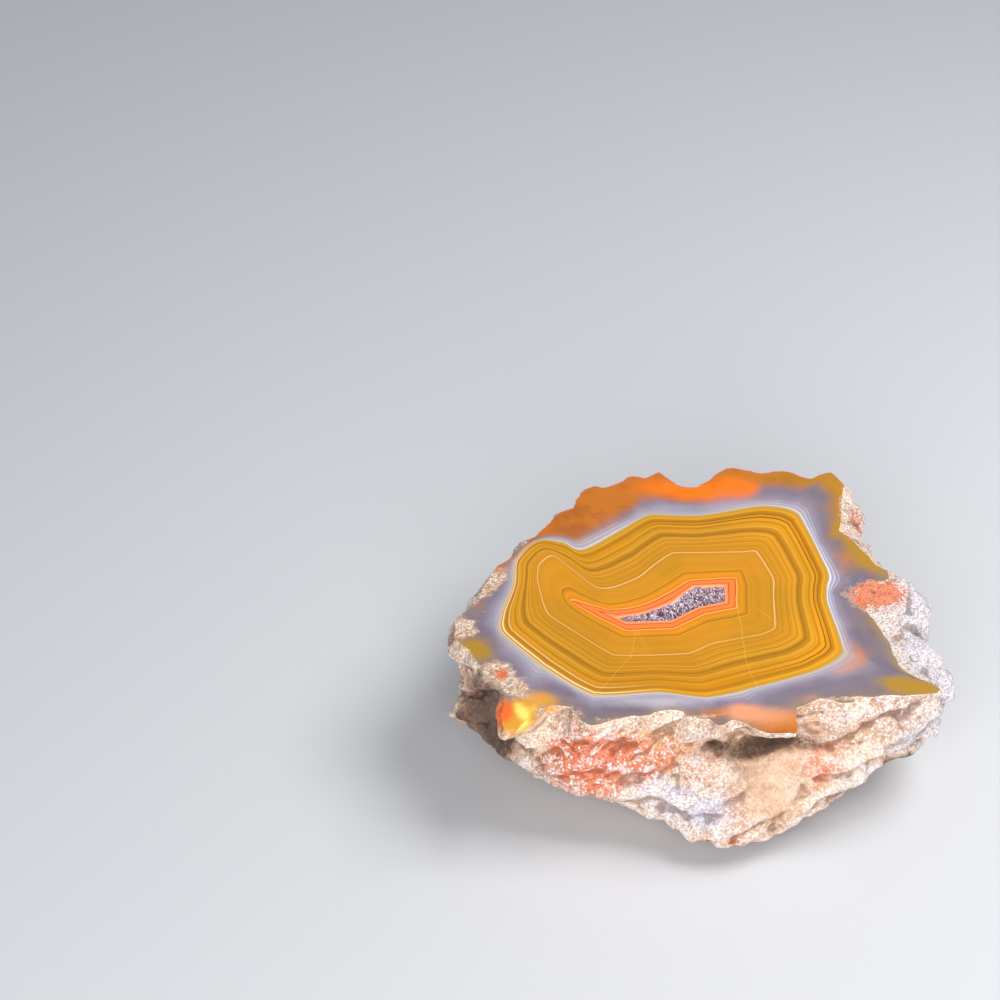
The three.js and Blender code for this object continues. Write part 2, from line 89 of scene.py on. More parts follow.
# %% Outlines of the cut and of its bands
FACE_HEIGHT = 27.0
FACE_LEAN = 3.5  # degrees
EDGE = [
    [(26.5, 30.5), (26, 25), (25.5, 21), (25, 18), (26.5, 16.5), (27.5, 14.5), (29, 12)],
    [(30.5, 9), (32, 7.5), (32.5, 5.5)],
    [(29.5, 4), (26.5, 2.5), (26.5, 1), (28, -1)],
    [(28, -3), (29.5, -6.5), (31, -10.5), (31.5, -14), (32.5, -17), (34.2, -18.9),
     (36.2, -20.4)],
    [(38.5, -22), (37.5, -23), (35, -23), (32, -23.5)],
    [(29, -23.5), (25.5, -24.5), (23.5, -25.3), (22, -25.35), (20.3, -24.9)],
    [(18.5, -24.5), (16.5, -25.5), (14.5, -27), (14.5, -31), (14, -32.5), (10.5, -32.5),
     (8, -32), (6, -30.5), (4, -29.5)],
    [(1.5, -30.5), (0, -29), (-3, -29), (-4, -27.5), (-6, -27)],
    [(-8.5, -27.5), (-11.5, -28.5), (-14.5, -29), (-17.5, -30)],
    [(-19, -30.5), (-21, -29), (-22, -26.5), (-23.5, -26), (-25.5, -26)],
    [(-27, -28), (-28, -29.5), (-30, -30), (-31.5, -31.5), (-33, -31), (-33.5, -27.5),
     (-33, -25), (-33.5, -21.5), (-34.5, -19.5), (-36.5, -18.5)],
    [(-37.5, -15.5), (-39, -12.5), (-40.5, -11)],
    [(-41.5, -9), (-41, -5), (-40, -3)],
    [(-38, -1), (-37, 2), (-36, 4.5)],
    [(-34, 9), (-31, 12)],
    [(-28, 16.5), (-25.5, 20)],
    [(-24, 22.5), (-21, 24.5)],
    [(-20.5, 27), (-19, 29.5), (-17.5, 30.5)],
    [(-16, 30), (-13, 31)],
    [(-11, 33), (-9.5, 33)],
    [(-8, 32.5), (-5.5, 34), (-4.5, 33), (-3, 31), (-1.5, 30)],
    [(1, 30), (3, 31.5), (4.5, 33.5), (6, 35), (8, 35), (10, 34.5)],
    [(12.5, 34), (15.5, 34.5), (17.5, 34), (19.5, 33), (21.5, 32.5), (23, 33.5), (25, 34),
     (26, 32.5)],
]
SECTORS = len(EDGE)

HOLLOW_RIM = [
    (4.3, 3.7), (4.3, 2.0), (4.3, 1.4), (4.3, 0.8), (4.2, -0.4), (2.5, -1.0), (-0.3, -1.8),
    (-5.1, -5.3), (-9.0, -5.4), (-12.6, -5.6), (-13.5, -4.95), (-13.65, -4.85),
    (-13.8, -4.73), (-13.9, -4.6), (-13.85, -4.53), (-13.8, -4.48), (-13.7, -4.42),
    (-13.4, -4.3), (-9.1, -3.0), (-4.7, -0.5), (-1.0, 3.5), (1.0, 3.6), (3.1, 3.7)]
ORANGE_BAND = [
    (6.2, 5.4), (6.1, 2.8), (6.0, 1.6), (5.9, 0.5), (5.8, -1.8), (3.7, -2.3), (0.6, -3.2),
    (-4.8, -6.9), (-8.7, -7.1), (-12.6, -7.4), (-17.2, -4.0), (-19.5, -2.05), (-20.8, -1.0),
    (-21.5, -0.4), (-21.3, -0.35), (-20.6, -0.7), (-19.5, -1.17), (-15.2, -2.75),
    (-9.6, -1.5), (-4.6, 1.9), (-1.6, 4.7), (1.0, 5.0), (3.9, 5.3)]
PALE_LINE = [
    (10.2, 12.6), (12.7, 5.7), (12.55, 2.2), (12.4, -1.3), (12.1, -7.0), (9.6, -8.7),
    (1.7, -10.8), (-2.5, -13.3), (-8.9, -13.8), (-15.0, -13.7), (-20.7, -8.5), (-25.4, -3.8),
    (-26.5, -0.5), (-27.4, 5.4), (-27.1, 9.2), (-24.7, 11.5), (-21.3, 7.8), (-16.6, 3.0),
    (-10.6, 5.6), (-7.3, 9.2), (-4.2, 12.2), (0.6, 12.3), (7.8, 12.5)]
YELLOW_ZONE = [
    (18.1, 22.4), (22.0, 7.6), (21.6, 3.4), (21.4, -0.8), (23.0, -12.8), (18.2, -17.5),
    (8.8, -21.3), (0.2, -24.0), (-7.6, -22.8), (-18.7, -23.5), (-26.6, -16.7), (-33.4, -8.3),
    (-33.6, -4.0), (-31.5, 3.6), (-31.0, 10.4), (-27.5, 15.4), (-23.1, 15.0), (-19.5, 13.0),
    (-13.2, 17.8), (-10.1, 20.6), (-7.5, 22.3), (1.0, 22.1), (12.5, 24.8)]
CONTOURS = [HOLLOW_RIM, ORANGE_BAND, PALE_LINE, YELLOW_ZONE]
ROUNDNESS = [0.0, 0.1, 0.35, 0.6]  # 0 is straight between corners, 1 a smooth curve
ROUND_SIDES = [(17, 18, 18.5, 20), (17, 17.5, 18.5, 20), (13.5, 15, 18, 20),
               (13.5, 15, 18, 20)]  # corners between which each contour is a smooth curve
LAGGING = {3: -1, 5: 1, 10: 1}  # sectors where columns lag (1) or lead (-1) on the contours
print(SECTORS, "sectors,", sum(len(row) for row in EDGE), "points along the edge")

# %% [markdown]
# Stone isn't smooth. A formula that anyone can repeat stands in for chance: the fraction of
# a large multiple of a sine gives each small cube of space its own number, and blending
# those numbers between the cubes' corners gives soft noise. Knobs are the distance to a
# scattered point in each cube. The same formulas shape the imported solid.

# %% Noise in space
HASH_WEIGHTS = (127.1, 311.7, 74.7, 53.3)  # for x, y, z and the seed
HASH_SCALE = 43758.5453


def cell_number(cell, seed):
    """A fixed number from 0 to 1 for a cell: the fraction of a large multiple of the sine
    of its coordinates and the seed, each times its weight, added up."""
    x, y, z, w = HASH_WEIGHTS
    total = cell[..., 0] * x + cell[..., 1] * y + cell[..., 2] * z + seed * w
    h = np.sin(total) * HASH_SCALE
    return h - np.floor(h)


def smoothstep(low, high, value):
    """0 below low, 1 above high, and 3t squared minus 2t cubed between them."""
    t = np.clip((value - low) / (high - low), 0, 1)
    return t * t * (3 - 2 * t)


def smooth_noise(p, size, seed):
    """Noise from -1 to 1: the numbers of a cell's eight corners, blended by smoothstep."""
    q = p / size
    base = np.floor(q)
    f = smoothstep(0, 1, q - base)
    total = 0
    for corner in range(8):
        step = np.array([corner & 1, (corner >> 1) & 1, corner >> 2])
        weight = np.prod(np.where(step, f, 1 - f), axis=-1)
        total = total + weight * cell_number(base + step, seed)
    return 2 * total - 1


def knob_noise(p, size, seed):
    """One minus the squared distance to the nearest scattered point, one point to a cell,
    and 0 where that is negative."""
    q = p / size
    base = np.floor(q)
    nearest = np.full(p.shape[:-1], 9.0)
    for cell in range(27):
        c = base + np.array([cell % 3 - 1, cell // 3 % 3 - 1, cell // 9 - 1])
        point = np.stack([cell_number(c, seed + i) for i in range(3)], axis=-1)
        nearest = np.minimum(nearest, np.linalg.norm(c + point - q, axis=-1))
    return np.maximum(0, 1 - nearest ** 2)


sample = smooth_noise(np.random.default_rng(1).uniform(-40, 40, (1000, 3)), 4.0, 1)
print("noise runs from", round(sample.min(), 2), "to", round(sample.max(), 2))

# %% [markdown]
# The columns of the mesh stand on the cut's edge, close enough together to carry its nicks
# and the small teeth of the rind. Each knows its place u, so the same columns reach in to
# the hollow and down to the foot, and the stone is one sheet without a seam.

# %% Columns along the edge
COLUMN_STEP = 0.56  # mm
EDGE_ROUNDNESS = 0.5
NICKS = [(0.3, 2.5, 12), (0.13, 0.8, 14)]  # height and size in mm, seed


def cubic(a, b, c, d, t):
    """The smooth cubic through b and c, with slopes from their neighbours a and d."""
    return b + 0.5 * t * (c - a + t * (2 * a - 5 * b + 4 * c - d + t * (3 * (b - c) + d - a)))


def edge_columns():
    """Points at equal steps along the edge's chain, part way from its straight pieces to
    the smooth curve through its points, with nicks. Returns x and y, and u, which runs
    with the length walked inside each sector."""
    chain = np.array([p for row in EDGE for p in row], float)
    after = np.roll(chain, -1, axis=0)
    length = np.linalg.norm(after - chain, axis=1)
    first = np.cumsum([0] + [len(row) for row in EDGE])
    u_start = np.concatenate([
        s + np.concatenate([[0], np.cumsum(length[a:b])[:-1]]) / length[a:b].sum()
        for s, (a, b) in enumerate(zip(first[:-1], first[1:]))])
    u_end = np.append(u_start[1:], SECTORS)
    pieces = np.ceil(length / COLUMN_STEP).astype(int)
    k = np.repeat(np.arange(len(chain)), pieces)
    t = (np.arange(len(k)) - np.repeat(np.cumsum(pieces) - pieces, pieces)) / pieces[k]
    near = [chain[(k + i) % len(chain)] for i in (-1, 0, 1, 2)]
    straight = near[1] + (near[2] - near[1]) * t[:, None]
    curved = cubic(*near, t[:, None])
    xy = straight + EDGE_ROUNDNESS * (curved - straight)
    flat = np.column_stack([xy, np.zeros(len(xy))])
    for height, size, seed in NICKS:
        xy = xy + height * np.stack([smooth_noise(flat, size, seed),
                                     smooth_noise(flat, size, seed + 1)], axis=-1)
    return xy, u_start[k] + t * (u_end[k] - u_start[k])


edge_xy, column_u = edge_columns()
COLUMNS = len(column_u)
print(COLUMNS, "columns round the stone")

# %% [markdown]
# The cut is a loft between the nested contours. Every band of the real stone is a layer
# that grew inwards from the wall, so the loft's second parameter is also the growth that
# the bands follow: a line at one value of v runs round the whole stone, close to its
# neighbours where the layers are thin and far from them where they are thick.

# %% The polished cut
FACE_ROWS = [5, 12, 17, 14]  # rows of quads between one contour and the next
LAG = 0.2  # how fast a lagging column sets out, against an even one


def face_height(y):
    """Height of the cut above the table: it rises with y at the tangent of its lean."""
    return FACE_HEIGHT + y * np.tan(np.radians(FACE_LEAN))


def round_range(u, low, full, full_end, end):
    """1 between two corners and 0 outside, with soft ends, on a range that may pass the
    last corner and start again."""
    shifted = (u - low) % SECTORS
    full, full_end, end = [(v - low) % SECTORS for v in (full, full_end, end)]
    return smoothstep(0, full, shifted) * (1 - smoothstep(full_end, end, shifted))


def contour_xy(points, roundness, u):
    """A closed outline at u corners round: part way, by its roundness, from the straight
    piece between two corners to the smooth curve through them."""
    points = np.array(points, float)
    s = np.floor(u).astype(int)
    t = (u - s)[:, None]
    near = [points[(s + i) % len(points)] for i in (-1, 0, 1, 2)]
    straight = near[1] + (near[2] - near[1]) * t
    return straight + np.reshape(roundness, (-1, 1)) * (cubic(*near, t) - straight)


def contour_place(u):
    """Place on the inner contours of a column at u. Where the edge turns back on itself,
    the share t of the sector becomes lag times t plus the rest times t cubed, seen from one
    end or the other, so that the lines out to the edge don't cross."""
    sector = np.floor(u).astype(int)
    t = u - sector
    for at, way in LAGGING.items():
        share = t if way > 0 else 1 - t
        share = LAG * share + (1 - LAG) * share ** 3
        t = np.where(sector == at, share if way > 0 else 1 - share, t)
    return sector + t


def face_grid():
    """Rows of points from the hollow's rim to the cut's edge: straight lines between
    matching points of neighbouring contours, cut into equal parts. Returns points, v."""
    u = contour_place(column_u)
    rings = [contour_xy(points, base + (1 - base) * round_range(u, *side), u)
             for points, base, side in zip(CONTOURS, ROUNDNESS, ROUND_SIDES)] + [edge_xy]
    rows, growth = [], []
    for zone, count in enumerate(FACE_ROWS):
        share = np.arange(count)[:, None, None] / count
        rows.append(rings[zone] + share * (rings[zone + 1] - rings[zone]))
        growth.append(zone + np.arange(count) / count)
    rows = np.concatenate(rows + [rings[-1][None]])
    growth = np.append(np.concatenate(growth), 4.0)
    return np.concatenate([rows, face_height(rows[..., 1:2])], axis=-1), growth


face_points, face_growth = face_grid()
print("cut:", face_points.shape[0], "rows,", "z from", round(face_points[..., 2].min(), 2),
      "to", round(face_points[..., 2].max(), 2), "mm")

# %% [markdown]
# Below the edge the rind drops over a brow and a shoulder to a belly, and comes in over a
# skirt to the worn spot that the stone rests on. These rings are smooth curves round the
# stone. The rough relief is pushed out from them along rays from the stone's core, which
# can't make the surface fold over itself.

# %% Smooth form of the rind
FOOT_MIDDLE = np.array([0.0, -1.0])
FOOT_HALF = np.array([13.0, 11.0])
RIND = [
    [(0.8, 0.3), (27.3, 29, 20), (25, 25.5, 11), (16.5, 17, 4)],
    [(0.5, 0.3), (30, 10, 19), (29.5, 8.5, 10), (22, 5, 4)],
    [(0.85, 0.15), (36.6, 5, 20.5), (34, 3, 10), (24, 1.5, 4)],
    [(0.9, 0.22), (38, -3.5, 20), (36.5, -4, 11), (25.5, -3.5, 4)],
    [(0.5, 0.3), (38.5, -20, 18.5), (36.5, -16, 11), (28, -12.5, 4.5)],
    [(0.4, 0.3), (28.5, -25.5, 18), (28, -22.6, 10.8), (23.5, -16.5, 4.3)],
    [(0.3, 0.25), (18.5, -27.5, 17), (19.5, -29.5, 9.3), (16.5, -25.6, 4.4)],
    [(0.3, 0.25), (2.5, -30.5, 17.5), (4, -34.5, 9), (4, -33, 4)],
    [(0.4, 0.3), (-9, -29.5, 17.5), (-8.5, -32, 9.5), (-7.5, -28, 4)],
    [(0.4, 0.3), (-19.5, -30.5, 17), (-18.5, -29, 9.5), (-15, -22, 4)],
    [(0.3, 0.3), (-27.5, -27, 17), (-26.5, -23.5, 9), (-20, -17, 4)],
    [(0.3, 0.4), (-35, -16, 18), (-36, -14, 10.5), (-27, -9.5, 4)],
    [(0.3, 0.4), (-38, -10, 19.5), (-39.5, -10, 11), (-29, -5, 4)],
    [(0.35, 0.3), (-37.5, -1, 18), (-37, -1, 10), (-27, -0.5, 4)],
    [(0.35, 0.3), (-34, 9, 18), (-33, 9, 10), (-24, 6.5, 4)],
    [(0.35, 0.3), (-29, 16.5, 18), (-28, 16, 10), (-20, 12, 4)],
    [(0.35, 0.3), (-24.5, 22.5, 18.5), (-23.5, 21.5, 10), (-16.5, 15.5, 4)],
    [(0.35, 0.3), (-20.5, 27.5, 18.5), (-19.5, 26, 10), (-13.5, 18.5, 4)],
    [(0.35, 0.3), (-16, 30.5, 18.5), (-14.5, 29, 10), (-10.5, 20.5, 4)],
    [(0.35, 0.3), (-11, 33, 18.5), (-10, 31, 10), (-7.5, 21.5, 4)],
    [(0.35, 0.3), (-7.5, 33.5, 18.5), (-7, 31.5, 10), (-5, 22, 4)],
    [(0.35, 0.3), (1, 32, 18.5), (1, 31, 10), (1, 21.5, 4)],
    [(0.35, 0.3), (12.5, 34, 18.5), (12, 31.5, 10.5), (8.5, 21.5, 4)],
]
WALL_ROWS = [27, 20, 19, 14, 10]  # from ring to ring: edge, brow and shoulder count as one


def ring_at(ring):
    """One ring of the rind at every column: the smooth cubic through its 23 corners."""
    table = np.array([row[ring] for row in RIND], float)
    s = np.floor(column_u).astype(int)
    near = [table[(s + i) % SECTORS] for i in (-1, 0, 1, 2)]
    return cubic(*near, (column_u - s)[:, None])


def wall_guides():
    """Six points for each column: edge, brow, shoulder, belly, skirt and foot. The brow
    lies part way to the shoulder, and the foot on an ellipse, in the skirt's direction."""
    out, drop = ring_at(0)[:, 0], ring_at(0)[:, 1]
    edge = face_points[-1]
    shoulder, belly, skirt = ring_at(1), ring_at(2), ring_at(3)
    share = np.stack([out, out, drop], axis=-1)
    brow = edge + share * (shoulder - edge)
    aim = (skirt[:, :2] - FOOT_MIDDLE) / FOOT_HALF
    aim /= np.linalg.norm(aim, axis=1, keepdims=True)
    foot = np.column_stack([FOOT_MIDDLE + FOOT_HALF * aim, np.zeros(COLUMNS)])
    return np.stack([edge, brow, shoulder, belly, skirt, foot])


def wall_smooth():
    """Rows of points down the columns, on the smooth cubic through the guides, whose ends
    repeat. Returns the points and each row's place t, counted in rings."""
    guides = wall_guides()
    t = np.concatenate([i + np.arange(n) / n for i, n in enumerate(WALL_ROWS)] + [[5.0]])[1:]
    i = np.minimum(np.floor(t).astype(int), 4)
    near = [guides[np.clip(i + k, 0, 5)] for k in (-1, 0, 1, 2)]
    return cubic(*near, (t - i)[:, None, None]), t


wall_form, wall_t = wall_smooth()
print("rind:", len(wall_t), "rows of", COLUMNS)

# %% [markdown]
# The relief has two parts. The coarse part, with its swells, ridges, knobs, the cave under
# the front lip and the long creases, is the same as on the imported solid. The fine part is
# the granular crust: small ledges, ridges and lumps, which are left out where the rind is
# smooth, as in the cave and in the brown hollow at the left. One function makes both, from
# two sets of sizes.

# %% Relief of the rind
CORE = np.array([0.0, 0.0, 20.0])
COARSE = {
    "soft": [(1.2, 12, 1), (0.5, 2.2, 8)],  # height and size in mm, seed
    "ridges": (1.8, 0.5, 7, 2),  # height, level, size, seed
    "knobs": (1.4, 0.55, 4.6, 4),
    "ledges": (1.4, 6.5, 0.35, 0.8, 10, 6, 0.25),  # height, step, slope, bend, its size, seed, rise
}
FINE = {
    "soft": [(0.24, 0.9, 39)],
    "ridges": (0.35, 0.3, 2.6, 41),
    "knobs": (0.34, 0.6, 1.4, 31),
    "ledges": (0.34, 2.3, 0.5, 1.2, 5, 43, 0.3),
}
FEATURES = [  # where, how wide in x, y and z, and how far they stand out
    ((11, -29, 20.5), (7.5, 6, 3.2), -4),  # cave under the front lip
    ((10, -34, 9), (9, 6, 4), 0.8),  # tan bulge below the cave
    ((-33, -22, 18.5), (4.5, 6, 4.5), -2),  # hollow under the tongue
    ((-31.5, -29, 22.5), (3, 3, 1.8), 1.8),  # thick root of the tongue
    ((-38, -12.5, 12.5), (4, 4.5, 3.5), 1),  # brown lobe at the left
    ((-31, -21, 11.5), (5, 4, 2.5), 1.2),  # ledge below the left lobe
    ((37.5, -6, 22), (5, 1.9, 6), -2.6),  # notch between the quartz lumps
    ((39.5, -12.5, 21.5), (5, 4.2, 4.5), 3),  # lower quartz lump
    ((-17, -31, 12), (8, 5, 5), 0.8),  # red rind swell
    ((-3, -33, 17), (5, 4, 3), 0.9),  # middle swell
    ((24, -28, 16), (6, 4, 2), 1.3),  # right wall ledge
]
CREASES = [  # from, to, width, depth
    ((-3, -33, 15.5), (5, -32, 20.5), 1.4, 1.5),  # left end of the cave
    ((23, -29, 14), (33, -24, 15.5), 1.3, 1.5),  # under the right ledge
    ((15, -33, 7), (27, -27, 7.5), 1.3, 1.3),  # low right
    ((-33, -27, 15), (-23, -30, 10), 1.5, 1.5),  # left dark crevice
    ((-20, 30, 16), (8, 35, 13), 1.6, 1.4),  # far side
    ((35, 12, 15), (31, 24, 13), 1.6, 1.3),  # right flank
    ((-5, -31, 21), (2, -31, 20.5), 1.2, 1.5),  # under the middle shelf
    ((-9, -32, 10.5), (-3, -34.5, 8.5), 1.1, 1.2),  # low middle
]
CALM = [  # where the uneven relief is missing: place, size, share of it
    ((10.5, -31, 14.5), (8.5, 6, 7), 0.8),  # wall of the cave
    ((-35.5, -20, 17), (4.5, 6, 5), 0.7),  # hollow under the tongue
    ((-18, -31, 14), (11, 6, 8), 0.5),  # red front left
    ((-2, -32, 12), (7, 6, 7), 0.4),  # front middle
    ((39, -5, 21), (6, 10, 6), 0.5),  # quartz lumps
]
SMOOTH_SPOTS = [  # where the crust is smooth: place, size, amount
    ((11, -30, 17), (8, 6, 5), 0.85),
    ((9, -34, 10), (6, 5, 3), 0.5),
    ((-35, -20, 18), (4.5, 7, 5), 0.95),
    ((-38, -12, 13), (4, 5, 4), 0.5),
    ((-32, -29.5, 24.5), (3, 4, 3), 1.0),
]


def spots(p, rows):
    """Sum over the rows of amount times e to the minus squared distance, where each axis
    is measured in that row's own sizes."""
    total = np.zeros(p.shape[:-1])
    for at, size, amount in rows:
        total += amount * np.exp(-np.sum(((p - np.array(at)) / np.array(size)) ** 2, axis=-1))
    return total


def segment_distance(p, a, b):
    """Distance to the nearest point of the line from a to b."""
    a, b = np.array(a, float), np.array(b, float)
    t = np.clip(np.sum((p - a) * (b - a), axis=-1) / np.sum((b - a) ** 2), 0, 1)
    return np.linalg.norm(p - a - t[..., None] * (b - a), axis=-1)


def ledge_noise(p, height, slope, bend, size, seed, rise):
    """Ledges from 0 to 1, one to each height, that climb to the right by the slope. Going
    up, each comes out over its rise and goes back over the rest. Soft noise bends them."""
    level = (p[..., 2] - slope * p[..., 0]) / height + bend * smooth_noise(p, size, seed)
    f = level - np.floor(level)
    return np.where(f < rise, f / rise, (1 - f) / (1 - rise))


def layered_relief(p, soft, ridges, knobs, ledges):
    """Soft noises, plus ridges, which are a level less the size of a noise, plus knobs
    above their level, plus ledges less a half, each times its height."""
    out = sum(height * smooth_noise(p, size, seed) for height, size, seed in soft)
    height, level, size, seed = ridges
    out += height * (level - np.abs(smooth_noise(p, size, seed)))
    height, level, size, seed = knobs
    out += height * (knob_noise(p, size, seed) - level)
    return out + ledges[0] * (ledge_noise(p, *ledges[1:]) - 0.5)


def coarse_relief(p):
    """The coarse layers, weaker at the calm places, plus the single features, less the
    creases."""
    out = layered_relief(p, **COARSE)
    for row in CALM:
        out *= 1 - spots(p, [row])
    out += spots(p, FEATURES)
    for a, b, wide, deep in CREASES:
        out -= deep * np.exp(-(segment_distance(p, a, b) / wide) ** 2)
    return out


COARSE_START, FINE_START = 0.9, 0.35  # rings below the edge where each is full
FADE = (4, 4.9)  # rings between which both end, above the foot


def wall_surface():
    """The rings pushed out along rays from the core. The coarse relief sets in slowly below
    the edge, the fine one sooner, and both fade out above the foot."""
    t = wall_t[:, None]
    fade = 1 - smoothstep(*FADE, t)
    rough = 1 - np.clip(spots(wall_form, SMOOTH_SPOTS), 0, 1)
    push = smoothstep(0, COARSE_START, t) * coarse_relief(wall_form)
    push = push + smoothstep(0, FINE_START, t) * rough * layered_relief(wall_form, **FINE)
    push = push * fade
    ray = wall_form - CORE
    ray /= np.linalg.norm(ray, axis=-1, keepdims=True)
    return wall_form + push[..., None] * ray, push


wall_points, wall_push = wall_surface()
print("relief from", round(wall_push.min(), 2), "to", round(wall_push.max(), 2), "mm")

# %% [markdown]
# Rows from the bottom of the hollow up to its rim, out over the cut, down the rind and in
# under the foot make one closed skin, with a single point at each end. A vertex is never
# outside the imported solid's box, because the box is what the part promises.

# %% One closed skin
HOLLOW_MIDDLE = np.array([-1.6, -1.0])
HOLLOW_DEPTH = 3.2
HOLLOW_RINGS = [(0.5, 2.88), (0.7, 2.4), (0.87, 1.6), (0.96, 0.64)]  # share of size, depth


def sunk_rows(rim, rings):
    """The rim drawn in towards the hollow's middle and sunk below the cut, one row for each
    ring's share of the size and depth in mm."""
    share = np.array([ring[0] for ring in rings])[:, None, None]
    deep = np.array([ring[1] for ring in rings])[:, None, None]
    xy = HOLLOW_MIDDLE + share * (rim[:, :2] - HOLLOW_MIDDLE)
    return np.concatenate([xy, face_height(xy[..., 1:]) - deep], axis=-1)


def sheet_faces(rows, columns, closed_ends):
    """Faces of a sheet whose columns close on themselves: each is a row's two neighbours
    and the next row's, in the order that faces away from the inside when the rows start in
    the middle of the top. With closed ends, triangles reach a point at either end."""
    i = np.arange(columns)
    j = (i + 1) % columns
    start = 1 if closed_ends else 0
    r = start + columns * np.arange(rows - 1)[:, None]
    quads = np.stack([r + i, r + j, r + j + columns, r + i + columns], axis=-1)
    faces = quads.reshape(-1, 4).tolist()
    if closed_ends:
        last = start + columns * (rows - 1)
        end = start + columns * rows
        faces = (np.column_stack([np.zeros_like(i), j + start, i + start]).tolist() + faces
                 + np.column_stack([np.full_like(i, end), last + i, last + j]).tolist())
    return faces


def make_mesh(name, points, faces):
    """A mesh object with its place in its vertices, from points in mm."""
    lo, hi = [np.array(corner) for corner in cad_box]
    metres = np.clip((points + SHIFT) * MM, lo, hi)
    mesh = bpy.data.meshes.new(name)
    mesh.from_pydata(metres.tolist(), [], faces)
    piece = bpy.data.objects.new(name, mesh)
    bpy.context.scene.collection.objects.link(piece)
    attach(piece, "root")
    return piece


def volume(piece):
    """Cubic centimetres and triangles: the sum over the triangles of a sixth of the box
    product of their corners. It is above zero where the faces point outwards."""
    mesh = piece.data
    mesh.calc_loop_triangles()
    corners = np.empty(len(mesh.loop_triangles) * 3, int)
    mesh.loop_triangles.foreach_get("vertices", corners)
    place = np.empty(len(mesh.vertices) * 3)
    mesh.vertices.foreach_get("co", place)
    a, b, c = place.reshape(-1, 3)[corners].reshape(-1, 3, 3).transpose(1, 0, 2)
    return round(np.sum(a * np.cross(b, c)) / 6 * 1e6, 3), len(mesh.loop_triangles)


hollow_points = sunk_rows(face_points[0], HOLLOW_RINGS)
skin = np.concatenate([hollow_points, face_points, wall_points])
bottom = sunk_rows(face_points[0, :1], [(0, HOLLOW_DEPTH)])[0]
heel = [[*FOOT_MIDDLE, 0.0]]
stone_points = np.concatenate([bottom, skin.reshape(-1, 3), heel])
stone = make_mesh("agate_stone", stone_points, sheet_faces(len(skin), COLUMNS, True))
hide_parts("agate_half")
print("stone: cm3 and triangles", volume(stone))

# %% [markdown]
# Two materials share the skin: the polished one as far as the cut's edge, the rough one
# below it. The cut is shaded flat, so that it keeps a crisp edge, and the rind smooth.

# %% Which faces are polished
CUT_ROWS = len(hollow_points) + len(face_points)
polygons = stone.data.polygons
polished = np.arange(len(polygons)) < COLUMNS * CUT_ROWS
polygons.foreach_set("material_index", np.where(polished, 0, 1).astype(np.int32))
polygons.foreach_set("use_smooth", ~polished)
print(int(polished.sum()), "polished faces,", int((~polished).sum()), "rough faces")
